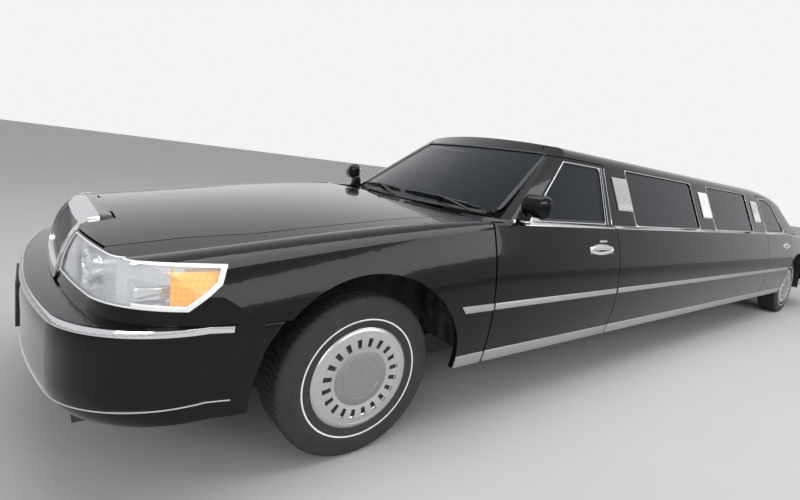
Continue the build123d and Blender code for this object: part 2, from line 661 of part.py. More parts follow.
def build_underbody():
    """Ladder frame, floor unit, running gear and exhaust."""
    low, high = FRAME_X - RAIL_HALF_WIDTH, FRAME_X + RAIL_HALF_WIDTH
    kick = WHEELBASE - 500, WHEELBASE + 500
    rail = box(low, high, NOSE + 140, kick[0] + 70, FRAME_BOTTOM, FRAME_TOP)
    rail = rail + box(low, high, kick[0], kick[0] + 70, FRAME_BOTTOM, KICK_TOP)
    rail = rail + box(low, high, kick[0], kick[1], KICK_TOP - 80, KICK_TOP)
    rail = rail + box(low, high, kick[1] - 70, kick[1], FRAME_BOTTOM, KICK_TOP)
    rail = rail + box(low, high, kick[1] - 70, TAIL - 150, FRAME_BOTTOM, FRAME_TOP)
    rail = rail + box(low, high, NOSE + 140, NOSE + 180, FRAME_BOTTOM, 520)
    rail = rail + box(low, high, NOSE + 130, NOSE + 140, 400, 520)
    rail = rail + box(low, high, TAIL - 200, TAIL - 150, FRAME_BOTTOM, 520)
    frame = rail + mirrored(rail)
    for station in (-770, 900, 2050, 3200, 4350, 5560, TAIL - 190):
        frame = frame + box(-low, low, station - 35, station + 35, FRAME_BOTTOM, FRAME_BOTTOM + 30)
    frame = frame + box(-low, low, -90, 90, FRAME_BOTTOM, ENGINE_BOTTOM)
    parts["frame"] = one(frame)

    riser = kick[0] - 30
    floor = box(-FLOOR_HALF, FLOOR_HALF, 700, riser, FLOOR_BOTTOM, FLOOR_TOP)
    floor = floor + box(-TUNNEL_HALF - 15, TUNNEL_HALF + 15, 680, riser, FLOOR_TOP, TUNNEL_TOP + 15)
    floor = floor + box(-840, 840, 680, 700, FLOOR_BOTTOM, 960)
    floor = floor + box(-700, 700, FRONT_SEAM + 6, 760, 960, 985)
    floor = floor + box(-840, 840, riser - 20, riser, FLOOR_BOTTOM, 570)
    floor = floor + box(-560, 560, riser - 20, TAIL - 170, 545, 570)
    floor = floor + box(-840, 840, riser - 20, 5600, 545, 570)
    floor = floor + box(-DECK_HALF, DECK_HALF, kick[1] + 10, TAIL - 330, 545, 570)
    floor = floor + box(-TAIL_DECK_HALF, TAIL_DECK_HALF, TAIL - 330, TAIL - 170, 545, 570)
    floor = floor + box(-TAIL_WALL_HALF, TAIL_WALL_HALF, TAIL - 170, TAIL - 155, 545, 690)
    floor = floor + box(-700, 700, 5710, 5730, 570, SHELF_TOP - SHELF_WALL)
    floor = floor + box(-DECK_HALF, DECK_HALF, 5710, 6376, SHELF_TOP - SHELF_WALL, SHELF_TOP)
    for sign in (1, -1):
        x0, x1 = sorted((sign * 820, sign * FLOOR_HALF))
        floor = floor + box(x0, x1, 700, riser, FLOOR_TOP, 400)
        x0, x1 = sorted((sign * FLOOR_HALF, sign * (SILL_HALF_WIDTH - DOOR_WALL)))
        floor = floor + box(x0, x1, 1800, 4780, FLOOR_BOTTOM, 376)
        x0, x1 = sorted((sign * FLOOR_HALF, sign * (SILL_HALF_WIDTH - DOOR_WALL - SEAT_GAP)))
        floor = floor + box(x0, x1, 700, 1700, 330, 370) + box(x0, x1, 4860, 5480, 330, 370)
    floor = floor - box(-TUNNEL_HALF, TUNNEL_HALF, 600, riser + 10, 200, TUNNEL_TOP)
    lid_arm = box(600, 640, 6330, LID_FRONT + 60, SHELF_TOP - SHELF_WALL, 1100)
    lid_arm = one(lid_arm & rear_body(SKIN + SEAT_GAP))
    floor = floor + lid_arm + mirrored(lid_arm)
    parts["floor"] = one(floor)

    axle = outline(
        lambda x, r: (x, 0, r),
        (-850, 0),
        (-850, SPINDLE_RADIUS),
        (-755, SPINDLE_RADIUS),
        (-755, 45),
        (-170, 45),
        (-105, 122),
        (-50, DIFFERENTIAL_RADIUS),
        (50, DIFFERENTIAL_RADIUS),
        (105, 122),
        (170, 45),
        (755, 45),
        (755, SPINDLE_RADIUS),
        (850, SPINDLE_RADIUS),
        (850, 0),
    )
    axle = revolve(axle, Axis((0, 0, 0), (1, 0, 0)))
    axle = Pos(0, at(WHEELBASE), TYRE_RADIUS) * axle
    for x in (-FRAME_X, FRAME_X):
        axle = axle + box(x - 30, x + 30, WHEELBASE - 40, WHEELBASE + 40, TYRE_RADIUS, KICK_TOP - 80)
    parts["rear_axle"] = one(axle)
    shaft_start, shaft_end = 420, WHEELBASE - DIFFERENTIAL_RADIUS - SEAT_GAP
    shaft = Cylinder(38, shaft_end - shaft_start)
    parts["prop_shaft"] = Pos(0, at((shaft_start + shaft_end) / 2), TYRE_RADIUS) * Rot(90, 0, 0) * shaft
    arms = []
    for sign in (1, -1):
        arm = box(high, KINGPIN_X + 20, -35, 35, KNUCKLE_FOOT - 30, KNUCKLE_FOOT - SEAT_GAP)
        arms.append(for_side(arm, sign))
    parts["front_suspension"] = Compound(arms)
    parts["engine"] = box(-280, 280, -360, 420, ENGINE_BOTTOM, 800)
    parts["radiator"] = box(-330, 330, -800, -745, FRAME_BOTTOM + 30, 780)

    pipe = Pos(-540, at(3000), 250) * Rot(90, 0, 0) * Cylinder(30, 4600)
    pipe = pipe + box(-640, -480, 2600, 3300, 190, 280)
    for station in (900, 2200, 3900, 5200):
        pipe = pipe + box(-548, -532, station, station + 30, 250, FLOOR_BOTTOM)
    parts["exhaust"] = one(pipe)


def wheel_pair():
    """Tyre and wheel on the left, their axis along X through the spindle."""
    outer = TRACK_HALF + TYRE_WIDTH / 2
    inner = TRACK_HALF - TYRE_WIDTH / 2
    place = lambda x, r: (x, 0, r)
    tyre = outline(
        place,
        (inner + 14, RIM_RADIUS),
        (inner, (RIM_RADIUS + TYRE_RADIUS) / 2, inner + 14, TYRE_RADIUS - 12),
        (inner + 18, TYRE_RADIUS - 4, inner + 30, TYRE_RADIUS),
        (outer - 30, TYRE_RADIUS),
        (outer - 18, TYRE_RADIUS - 4, outer - 14, TYRE_RADIUS - 12),
        (outer, (RIM_RADIUS + TYRE_RADIUS) / 2, outer - 14, RIM_RADIUS + 12),
        (outer - 14, RIM_RADIUS),
    )
    cover = outer - 12
    bore = SPINDLE_RADIUS + RUNNING_CLEARANCE
    wheel = outline(
        place,
        (inner + 16, RIM_RADIUS - 14),
        (inner + 16, RIM_RADIUS),
        (cover, RIM_RADIUS),
        (cover, RIM_RADIUS + 10),
        (cover + 5, RIM_RADIUS + 10),
        (cover + 12, RIM_RADIUS - 20),
        (cover - 6, 150),
        (cover - 2, 100),
        (cover + 4, 90),
        (cover + 6, 0),
        (cover - 30, 0),
        (cover - 30, bore),
        (cover - 90, bore),
        (cover - 90, 70),
        (cover - 40, 75),
        (cover - 40, RIM_RADIUS - 14),
    )
    axis = Axis((0, 0, 0), (1, 0, 0))
    return revolve(tyre, axis), revolve(wheel, axis)


def build_wheels():
    tyre, wheel = wheel_pair()
    for end, station in (("front", 0), ("rear", WHEELBASE)):
        for label, sign in SIDES:
            place = Pos(0, at(station), TYRE_RADIUS)
            parts[f"{end}_tyre_{label}"] = place * for_side(tyre, sign)
            parts[f"{end}_wheel_{label}"] = place * for_side(wheel, sign)
    for label, sign in SIDES:
        knuckle = box(KINGPIN_X - 27, KINGPIN_X + 27, -32, 32, KNUCKLE_FOOT, 480)
        knuckle = knuckle + rod(KINGPIN_X, 850, 0, TYRE_RADIUS, SPINDLE_RADIUS)
        parts["knuckle_" + label] = for_side(one(knuckle), sign)


def build_cabin():
    """Seats, partition with bar, dashboard and steering wheel."""
    seats = []
    for x in (-390, 390):
        seat = box(x - 255, x + 255, 1230, 1760, FLOOR_TOP, 590) + box(x - 250, x + 250, 1700, 1860, 590, 1130)
        seats.append(one(seat))
    seat_rear = WHEELBASE - 530
    bench = box(-780, 780, 4980, seat_rear - 20, TUNNEL_TOP + 15, 600)
    bench = bench + box(-780, 780, seat_rear - 20, 5690, 570, 600) + box(-700, 700, 5540, 5690, 600, 1100)
    seats.append(one(bench))
    side_bench = box(-800, -330, 2500, 4700, FLOOR_TOP, 600) + box(-800, -700, 2500, 4700, 600, 1000)
    seats.append(one(side_bench))
    parts["seats"] = Compound(seats)
    partition = box(-690, 690, 2000, 2040, TUNNEL_TOP + 15, 1300)
    partition = partition - box(-560, 560, 1990, 2050, 1000, 1250)
    parts["partition"] = one(partition)
    parts["bar_cabinet"] = box(400, 800, 2500, 4500, FLOOR_TOP, 900)

    # The column rakes up to the wheel, which turns on its end
    rake = Rot(-65, 0, 0)
    middle = Pos(390, at(1090), 900) * rake
    column = middle * Pos(0, 0, -90 - SEAT_GAP) * Cylinder(24, 140)
    dash = box(-780, 780, 700, 960, 740, 958) + column
    parts["dashboard"] = one(dash)
    wheel = Torus(185, 14) + Cylinder(40, 40) + Box(370, 30, 14)
    parts["steering_wheel"] = one(middle * wheel)


build_panels()
parts["front_bumper"] = bumper(True)
parts["rear_bumper"] = bumper(False)
build_underbody()
build_wheels()
build_cabin()

os.makedirs("parts", exist_ok=True)
for name, shape in parts.items():
    shape.label = name
    export_step(shape, f"parts/{name}.step")
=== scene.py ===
"""Finish and trim of a stretch limousine, made around its solid model. All lengths are metres.

Stations run along the car from the front axle, positive to the rear.
X is the car's left, Y points to its rear and Z is up.
"""

import json
import math

import bmesh
import bpy
from mathutils import Matrix, Vector


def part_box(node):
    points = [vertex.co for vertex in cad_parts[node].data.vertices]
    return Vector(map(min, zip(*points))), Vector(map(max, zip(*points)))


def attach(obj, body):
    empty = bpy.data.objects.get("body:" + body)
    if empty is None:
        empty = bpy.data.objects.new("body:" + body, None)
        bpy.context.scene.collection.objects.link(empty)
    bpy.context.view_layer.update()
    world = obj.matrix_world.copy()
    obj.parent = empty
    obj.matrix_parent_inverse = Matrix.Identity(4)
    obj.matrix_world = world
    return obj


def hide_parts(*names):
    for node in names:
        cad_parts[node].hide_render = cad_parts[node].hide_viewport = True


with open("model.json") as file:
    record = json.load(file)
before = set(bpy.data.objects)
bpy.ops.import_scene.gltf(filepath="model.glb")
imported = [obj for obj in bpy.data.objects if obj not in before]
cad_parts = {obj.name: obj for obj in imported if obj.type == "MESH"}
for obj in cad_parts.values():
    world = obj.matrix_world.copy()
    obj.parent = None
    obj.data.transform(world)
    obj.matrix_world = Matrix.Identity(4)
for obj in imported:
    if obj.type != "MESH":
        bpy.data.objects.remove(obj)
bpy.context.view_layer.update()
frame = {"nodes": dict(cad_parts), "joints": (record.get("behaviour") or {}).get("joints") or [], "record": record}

bl_info = {
    "name": "Stretch limousine finish",
    "version": (1, 0, 0),
    "blender": (4, 5, 0),
    "location": "3D View > Sidebar > Limousine",
    "description": "Paint, glass, chrome, lamps, wheels and cabin trim of a stretch limousine",
    "category": "Object",
}

JOINTS = {joint["name"]: joint for joint in frame["joints"]}
AXLE_Y = JOINTS["front_wheel_spin_left"]["pos_m"][1]
REAR_AXLE_Y = JOINTS["rear_wheel_spin_left"]["pos_m"][1]
AXLE_Z = JOINTS["front_wheel_spin_left"]["pos_m"][2]
WHEEL_X = JOINTS["front_wheel_spin_left"]["pos_m"][0]
SIDES = (("left", 1), ("right", -1))


def at(station):
    """Y of a station measured from the front axle."""
    return AXLE_Y + station


# Materials


class Value:
    """A socket that carries a number. Its sums, differences and products add Math nodes."""

    def __init__(self, shader, socket):
        self.shader = shader
        self.socket = socket

    def _math(self, operation, *values):
        return self.shader.node("Math", {"operation": operation}, *values)

    def __add__(self, other):
        return self._math("ADD", self, other)

    __radd__ = __add__

    def __rsub__(self, other):
        return self._math("SUBTRACT", other, self)

    def __mul__(self, other):
        return self._math("MULTIPLY", self, other)

    __rmul__ = __mul__

    def wave(self):
        return self._math("SINE", self)

    def between(self, low, high):
        """0 below low, 1 above high, smooth in between."""
        ramp = {"interpolation_type": "SMOOTHSTEP"}
        return self.shader.node("MapRange", ramp, self, low, high, 0.0, 1.0)


class Shader:
    """The nodes of one material, added one by one."""

    def __init__(self, name):
        self.material = bpy.data.materials.new(name)
        self.material.use_nodes = True
        self.tree = self.material.node_tree
        self.surface = self.tree.nodes["Principled BSDF"]

    def node(self, kind, settings=None, *values, out=0, **named):
        """A node of this kind with its settings, then the values or links of its sockets."""
        made = self.tree.nodes.new("ShaderNode" + kind)
        for key, value in (settings or {}).items():
            setattr(made, key, value)
        for key, value in list(enumerate(values)) + list(named.items()):
            socket = made.inputs[key.replace("_", " ") if isinstance(key, str) else key]
            self.feed(socket, value)
        return Value(self, made.outputs[out])

    def feed(self, socket, value):
        if isinstance(value, Value):
            self.tree.links.new(value.socket, socket)
        else:
            socket.default_value = value

    def place(self):
        """The point on the piece, in metres."""
        return self.node("TexCoord", out="Object")

    def parts(self, vector):
        made = self.tree.nodes.new("ShaderNodeSeparateXYZ")
        self.feed(made.inputs[0], vector)
        return [Value(self, made.outputs[index]) for index in range(3)]

    def noise(self, scale, detail=3.0, vector=None):
        return self.node("TexNoise", {"noise_dimensions": "3D"}, Vector=vector or self.place(),
                         Scale=scale, Detail=detail, Roughness=0.55)

    def mix(self, factor, first, second):
        """A colour between two colours."""
        made = self.tree.nodes.new("ShaderNodeMix")
        made.data_type = "RGBA"
        self.feed(made.inputs["Factor"], factor)
        for socket, value in zip([s for s in made.inputs if s.type == "RGBA"], (first, second)):
            self.feed(socket, value)
        colours = [s for s in made.outputs if s.type == "RGBA"]
        return Value(self, colours[0])

    def bump(self, height, strength, distance=0.001):
        return self.node("Bump", None, Strength=strength, Distance=distance, Height=height)

    def set(self, **values):
        for key, value in values.items():
            self.feed(self.surface.inputs[key.replace("_", " ")], value)


def rgb(red, green, blue):
    return (red, green, blue, 1.0)


def gloss_paint(look):
    """Black lacquer: clear coat, fine orange peel and a thin film of road dust low down."""
    shader = Shader("gloss_black_paint")
    height = shader.parts(shader.place())[2]
    dust = (1 - height.between(0.25, 0.75)) * shader.noise(9.0, 5.0).between(0.35, 0.75)
    colour = shader.mix(dust * 0.03, rgb(*look.paint), rgb(0.16, 0.15, 0.13))
    peel = shader.noise(260.0, 1.0)
    shader.set(Base_Color=colour, Roughness=0.16 + dust * 0.14, Coat_Weight=1.0, Coat_Roughness=0.025,
               Normal=shader.bump(peel, 0.04, 0.0004))
    shader.surface.inputs["Specular IOR Level"].default_value = 0.12
    shader.surface.inputs["Coat IOR"].default_value = 1.25
    return shader.material


def plain_chrome(look):
    """Polished chrome with faint polishing marks."""
    shader = Shader("polished_chrome")
    haze = shader.noise(60.0, 4.0)
    shader.set(Base_Color=shader.mix(haze, rgb(0.80, 0.81, 0.83), rgb(0.90, 0.90, 0.90)), Metallic=1.0,
               Roughness=0.06 + haze * 0.06)
    return shader.material


def satin_metal(look):
    """Brushed satin strip, grain along the car."""
    shader = Shader("satin_strip")
    place = shader.node("Mapping", None, Vector=shader.place(), Scale=(900.0, 6.0, 900.0))
    grain = shader.noise(1.0, 2.0, vector=place)
    colour = shader.mix(grain, rgb(0.36, 0.36, 0.36), rgb(0.50, 0.50, 0.49))
    shader.set(Base_Color=colour, Metallic=0.75, Roughness=0.34 + grain * 0.14,
               Normal=shader.bump(grain, 0.12, 0.0003))
    return shader.material


def wheel_silver(look):
    """Painted silver of the wheel covers, duller where brake dust settles."""
    shader = Shader("wheel_silver")
    dust = shader.noise(9.0, 4.0).between(0.45, 0.8)
    colour = shader.mix(dust * 0.15, rgb(*look.silver), rgb(0.40, 0.39, 0.37))
    shader.set(Base_Color=colour, Metallic=0.85, Roughness=0.24 + dust * 0.2, Coat_Weight=0.3)
    return shader.material


def rubber(look):
    """Tyre rubber, browned by dust on the tread."""
    shader = Shader("tyre_rubber")
    dust = shader.noise(24.0, 5.0)
    colour = shader.mix(dust, rgb(0.012, 0.012, 0.013), rgb(0.042, 0.041, 0.039))
    shader.set(Base_Color=colour, Roughness=0.68 + dust * 0.18,
               Normal=shader.bump(shader.noise(700.0, 2.0), 0.25, 0.0005))
    return shader.material


def white_rubber(look):
    """The thin white ring of the tyre."""
    shader = Shader("white_rubber")
    dirt = shader.noise(60.0, 4.0).between(0.4, 0.8)
    shader.set(Base_Color=shader.mix(dirt * 0.5, rgb(0.82, 0.81, 0.78), rgb(0.50, 0.47, 0.42)), Roughness=0.6)
    return shader.material


def dark_glass(look, name, tint, cover):
    """Tinted glass: what is behind it shows through, and its face mirrors the surroundings."""
    shader = Shader(name)
    smear = shader.noise(5.0, 4.0)
    shader.set(Base_Color=rgb(*tint), Roughness=0.012 + smear * 0.02, Alpha=cover, Coat_Weight=0.4,
               Coat_Roughness=0.0)
    shader.surface.inputs["Specular IOR Level"].default_value = 0.25
    return shader.material


def lens_glass(look):
    """Clear lamp lens."""
    shader = Shader("clear_lens")
    shader.set(Base_Color=rgb(0.95, 0.97, 1.0), Roughness=0.02 + shader.noise(8.0) * 0.01, Alpha=0.16,
               Coat_Weight=1.0)
    return shader.material


def reflector(look):
    """Bright lamp bowl with a fluted reflector."""
    shader = Shader("lamp_bowl")
    across = shader.parts(shader.place())[0]
    flute = (across * 420.0).wave()
    shader.set(Base_Color=rgb(0.86, 0.87, 0.88), Metallic=0.95, Roughness=0.12 + shader.noise(30.0) * 0.08,
               Normal=shader.bump(flute, 0.35, 0.002))
    return shader.material


def red_lens(look):
    """Red tail lamp plastic with a prism pattern under it."""
    shader = Shader("red_lens")
    across, _, up = shader.parts(shader.place())
    prism = (across * 520.0).wave() + (up * 520.0).wave()
    colour = shader.mix(prism.between(-1.5, 1.5), rgb(0.12, 0.002, 0.003), rgb(0.32, 0.006, 0.008))
    shader.set(Base_Color=colour, Roughness=0.10, Coat_Weight=1.0, Normal=shader.bump(prism, 0.25, 0.001))
    return shader.material


PANEL_RIBS = 12
PANEL_WIDTH = 0.190
RIB_WAVE = 2 * math.pi * PANEL_RIBS / PANEL_WIDTH


def panel_white(look):
    """White ribbed light panel, with painted shade darkening the valleys between its ribs."""
    shader = Shader("panel_white")
    along = shader.parts(shader.place())[1]
    # The darker stripes at the ribs' pitch are painted shade in the valleys between the ribs.
    rib = (along * RIB_WAVE).wave().between(-0.6, 0.8)
    shader.set(Base_Color=shader.mix(rib, rgb(0.20, 0.20, 0.20), rgb(0.66, 0.66, 0.64)), Roughness=0.25,
               Coat_Weight=0.6)
    return shader.material


def chassis_black(look):
    """Satin chassis black under a coat of road dirt."""
    shader = Shader("chassis_black")
    dirt = shader.noise(14.0, 6.0).between(0.35, 0.75)
    shader.set(Base_Color=shader.mix(dirt, rgb(0.018, 0.018, 0.018), rgb(0.075, 0.068, 0.058)),
               Roughness=0.55 + dirt * 0.35, Normal=shader.bump(shader.noise(180.0, 4.0), 0.3, 0.001))
    return shader.material


def cast_metal(look):
    """Rough cast metal with oil haze."""
    shader = Shader("cast_metal")
    grain = shader.noise(220.0, 3.0)
    shader.set(Base_Color=shader.mix(shader.noise(9.0), rgb(0.09, 0.09, 0.09), rgb(0.20, 0.19, 0.18)),
               Metallic=0.7, Roughness=0.5 + grain * 0.2, Normal=shader.bump(grain, 0.5, 0.001))
    return shader.material


def radiator_fins(look):
    """Close fins of the radiator core."""
    shader = Shader("radiator_fins")
    up = shader.parts(shader.place())[2]
    fins = (up * 2200.0).wave()
    colour = shader.mix(fins.between(-1.0, 1.0), rgb(0.012, 0.012, 0.012), rgb(0.10, 0.10, 0.10))
    shader.set(Base_Color=colour, Metallic=0.6, Roughness=0.5, Normal=shader.bump(fins, 0.5, 0.001))
    return shader.material


def dull_steel(look):
    """Exhaust steel, heat-stained."""
    shader = Shader("dull_steel")
    stain = shader.noise(11.0, 5.0)
    shader.set(Base_Color=shader.mix(stain, rgb(0.32, 0.30, 0.27), rgb(0.16, 0.12, 0.09)), Metallic=0.8,
               Roughness=0.4 + stain * 0.3)
    return shader.material


def leather(look):
    """Black seat leather with its grain."""
    shader = Shader("black_leather")
    cells = shader.node("TexVoronoi", {"feature": "DISTANCE_TO_EDGE"}, Vector=shader.place(), Scale=330.0)
    wear = shader.noise(7.0, 4.0)
    shader.set(Base_Color=shader.mix(wear, rgb(0.020, 0.020, 0.022), rgb(0.045, 0.044, 0.046)),
               Roughness=0.36 + wear * 0.2, Normal=shader.bump(cells, 0.35, 0.0006))
    return shader.material


def grained_plastic(look):
    """Moulded cabin plastic."""
    shader = Shader("grained_plastic")
    grain = shader.noise(900.0, 2.0)
    shader.set(Base_Color=shader.mix(shader.noise(6.0), rgb(0.028, 0.028, 0.031), rgb(0.050, 0.050, 0.054)),
               Roughness=0.55 + grain * 0.15, Normal=shader.bump(grain, 0.4, 0.0004))
    return shader.material


def bar_wood(look):
    """Dark lacquered wood of the bar."""
    shader = Shader("bar_wood")
    place = shader.node("Mapping", None, Vector=shader.place(), Scale=(14.0, 1.2, 14.0))
    grain = (shader.noise(2.2, 6.0, vector=place) * 26.0).wave().between(-1.0, 1.0)
    shader.set(Base_Color=shader.mix(grain, rgb(0.07, 0.028, 0.012), rgb(0.17, 0.075, 0.032)), Roughness=0.28,
               Coat_Weight=0.8)
    return shader.material


def studio_floor(look):
    """Pale studio floor with a faint mottle."""
    shader = Shader("studio_floor")
    mottle = shader.noise(1.3, 5.0)
    shader.set(Base_Color=shader.mix(mottle, rgb(0.42, 0.42, 0.42), rgb(0.46, 0.46, 0.455)), Roughness=0.85)
    return shader.material


def disc_metal(look):
    """Grey metal of the wheel discs, dulled by dust."""
    shader = Shader("disc_metal")
    dust = shader.noise(40.0, 4.0).between(0.45, 0.8)
    colour = shader.mix(dust * 0.35, rgb(0.36, 0.355, 0.37), rgb(0.26, 0.25, 0.24))
    shader.set(Base_Color=colour, Metallic=0.9, Roughness=0.36 + dust * 0.10)
    return shader.material


def amber_lens(look):
    """Amber marker plastic with a diamond prism pattern."""
    shader = Shader("amber_lens")
    across, along, up = shader.parts(shader.place())
    prism = (along * 300.0 + across * 300.0).wave() + (up * 300.0).wave()
    shader.set(Base_Color=shader.mix(prism.between(-1.8, 1.8), rgb(0.90, 0.36, 0.0), rgb(0.98, 0.46, 0.0)),
               Roughness=0.22, Coat_Weight=0.6, Emission_Color=rgb(1.0, 0.42, 0.0),
               Normal=shader.bump(prism, 0.3, 0.0012))
    shader.surface.inputs["Emission Strength"].default_value = 0.10
    return shader.material


def lamp_bezel(look):
    """White translucent rim of the headlamps."""
    shader = Shader("lamp_bezel")
    haze = shader.noise(30.0, 3.0)
    shader.set(Base_Color=shader.mix(haze, rgb(0.80, 0.81, 0.80), rgb(0.88, 0.88, 0.87)), Roughness=0.25,
               Coat_Weight=0.8)
    return shader.material


def black_rubber(look):
    """Black rubber of seals and borders."""
    shader = Shader("black_rubber")
    grain = shader.noise(500.0, 2.0)
    colour = shader.mix(shader.noise(20.0, 4.0), rgb(0.010, 0.010, 0.011), rgb(0.028, 0.028, 0.029))
    shader.set(Base_Color=colour, Roughness=0.42 + grain * 0.2, Normal=shader.bump(grain, 0.2, 0.0003))
    return shader.material


def mirror_face(look):
    """Silvered glass of the mirrors."""
    shader = Shader("mirror_face")
    shader.set(Base_Color=rgb(0.88, 0.89, 0.90), Metallic=1.0, Roughness=0.02 + shader.noise(30.0) * 0.01)
    return shader.material


def carpet(look):
    """Short black carpet."""
    shader = Shader("carpet")
    tuft = shader.noise(900.0, 3.0)
    colour = shader.mix(tuft, rgb(0.010, 0.010, 0.011), rgb(0.055, 0.054, 0.056))
    shader.set(Base_Color=colour, Roughness=0.95, Normal=shader.bump(tuft, 0.8, 0.002))
    return shader.material


def headliner(look):
    """Grey woven headliner."""
    shader = Shader("headliner")
    across, along, _ = shader.parts(shader.place())
    weave = (across * 2600.0).wave() * (along * 2600.0).wave()
    colour = shader.mix(weave.between(-1.0, 1.0), rgb(0.12, 0.12, 0.125), rgb(0.17, 0.17, 0.175))
    shader.set(Base_Color=colour, Roughness=0.9, Normal=shader.bump(weave, 0.4, 0.0006))
    return shader.material


def dial_face(look):
    """Dark glossy instrument faces."""
    shader = Shader("dial_face")
    haze = shader.noise(40.0)
    colour = shader.mix(haze, rgb(0.012, 0.014, 0.016), rgb(0.030, 0.034, 0.038))
    shader.set(Base_Color=colour, Roughness=0.15, Coat_Weight=1.0)
    return shader.material


def tumbler_glass(look):
    """Clear glass of the bar's tumblers."""
    shader = Shader("tumbler_glass")
    shader.set(Base_Color=rgb(0.92, 0.95, 0.96), Roughness=0.03 + shader.noise(20.0) * 0.02, Alpha=0.30,
               Coat_Weight=1.0)
    return shader.material


FINISHES = {
    "paint": gloss_paint,
    "chrome": plain_chrome,
    "satin": satin_metal,
    "silver": wheel_silver,
    "rubber": rubber,
    "white_rubber": white_rubber,
    "cabin_glass": lambda look: dark_glass(look, "cabin_glass", (0.002, 0.003, 0.006), 0.95),
    "front_glass": lambda look: dark_glass(look, "front_glass", (0.004, 0.008, 0.014), 0.66),
    "lens": lens_glass,
    "bowl": reflector,
    "red": red_lens,
    "panel": panel_white,
    "chassis": chassis_black,
    "cast": cast_metal,
    "radiator": radiator_fins,
    "steel": dull_steel,
    "leather": leather,
    "plastic": grained_plastic,
    "wood": bar_wood,
    "disc": disc_metal,
    "amber": amber_lens,
    "bezel": lamp_bezel,
    "seal": black_rubber,
    "mirror": mirror_face,
    "carpet": carpet,
    "headliner": headliner,
    "dial": dial_face,
    "tumbler": tumbler_glass,
    "floor": studio_floor,
}
MADE = {}


def finish(name):
    """The finished material of this name, made once."""
    if name not in MADE:
        MADE[name] = FINISHES[name](bpy.context.scene.limousine_look)
    return MADE[name]


# Columns: start of the node's name, finish
NODE_FINISHES = (
    ("side_windows", "cabin_glass"),
    ("side_", "paint"),
    ("roof", "paint"),
    ("wing_", "paint"),
    ("bonnet", "paint"),
    ("boot_lid", "paint"),
    ("front_door", "paint"),
    ("rear_door", "paint"),
    ("front_bumper", "paint"),
    ("rear_bumper", "paint"),
    ("windscreen", "front_glass"),
    ("front_glass", "front_glass"),
    ("rear_glass", "cabin_glass"),
    ("rear_window", "cabin_glass"),
    ("headlamp_lenses", "lens"),
    ("headlamp_bowls", "bowl"),
    ("tail_lamps", "red"),
    ("grille", "chrome"),
    ("light_panels", "panel"),
    ("engine", "cast"),
    ("radiator", "radiator"),
    ("exhaust", "steel"),
    ("seats", "leather"),
    ("dashboard", "plastic"),
    ("steering_wheel", "plastic"),
    ("partition", "plastic"),
    ("bar_cabinet", "wood"),
    ("front_tyre", "rubber"),
    ("rear_tyre", "rubber"),
    ("front_wheel", "silver"),
    ("rear_wheel", "silver"),
    ("", "chassis"),
)


# Modelling


MERGE_DISTANCE = 0.00002
# Width and height of the plane of the side windows, at its foot and head
GLASS_FOOT = (0.886, 1.016)
GLASS_HEAD = (0.712, 1.390)
GLASS_LEAN = (GLASS_FOOT[0] - GLASS_HEAD[0]) / (GLASS_HEAD[1] - GLASS_FOOT[1])
WHEELBASE = REAR_AXLE_Y - AXLE_Y
BODY_OF = {node: body for body, nodes in frame["record"]["behaviour"]["bodies"].items() for node in nodes}


def object_mode():
    if bpy.context.object and bpy.context.object.mode == "EDIT":
        bpy.ops.object.mode_set(mode="OBJECT")
    bpy.ops.object.select_all(action="DESELECT")


def open_piece(piece):
    """Edit mode on this piece alone."""
    object_mode()
    piece.select_set(True)
    bpy.context.view_layer.objects.active = piece
    bpy.ops.object.mode_set(mode="EDIT")
    return piece


def start(name, primitive, **settings):
    """A primitive, its place and size put into its mesh, open in edit mode."""
    object_mode()
    getattr(bpy.ops.mesh, f"primitive_{primitive}_add")(**settings)
    piece = bpy.context.object
    piece.name = piece.data.name = name
    bpy.ops.object.transform_apply(location=True, rotation=True, scale=True)
    bpy.ops.object.mode_set(mode="EDIT")
    return piece


def pick(kind, test):
    """Select the FACE, EDGE or VERT items of the open piece whose middle and direction pass a test."""
    bpy.ops.mesh.select_mode(type=kind)
    bpy.ops.mesh.select_all(action="DESELECT")
    data = bpy.context.object.data
    mesh = bmesh.from_edit_mesh(data)
    mesh.normal_update()
    for item in {"FACE": mesh.faces, "EDGE": mesh.edges, "VERT": mesh.verts}[kind]:
        if kind == "FACE":
            place, facing = item.calc_center_median(), item.normal
        elif kind == "EDGE":
            first, second = (corner.co for corner in item.verts)
            place, facing = (first + second) / 2, (second - first).normalized()
        else:
            place, facing = item.co, item.normal
        item.select_set(bool(test(place, facing)))
    mesh.select_flush_mode()
    bmesh.update_edit_mesh(data)


def move_corners(place):
    """Move every corner of the open piece to where a function of its number and place puts it."""
    data = bpy.context.object.data
    mesh = bmesh.from_edit_mesh(data)
    mesh.verts.ensure_lookup_table()
    for index, corner in enumerate(mesh.verts):
        corner.co = place(index, corner.co)
    bmesh.update_edit_mesh(data)


def rounded(width, segments=2):
    """Round every edge of the open piece."""
    bpy.ops.mesh.select_mode(type="EDGE")
    bpy.ops.mesh.select_all(action="SELECT")
    bpy.ops.mesh.bevel(offset=width, segments=segments, affect="EDGES")


def block(name, low, high, rounding, segments=2):
    """A rounded block between two corners, open in edit mode."""
    low, high = Vector(low), Vector(high)
    piece = start(name, "cube", size=1, location=(low + high) / 2, scale=high - low)
    rounded(rounding, segments)
    return piece


def thicken(piece, thickness, offset=1.0, bevel=0.0):
    solid = piece.modifiers.new("wall", "SOLIDIFY")
    solid.thickness = thickness
    solid.offset = offset
    solid.use_even_offset = True
    if bevel:
        edge = piece.modifiers.new("edge", "BEVEL")
        edge.width = bevel
        edge.segments = 2
        edge.limit_method = "ANGLE"
        edge.angle_limit = math.radians(40)


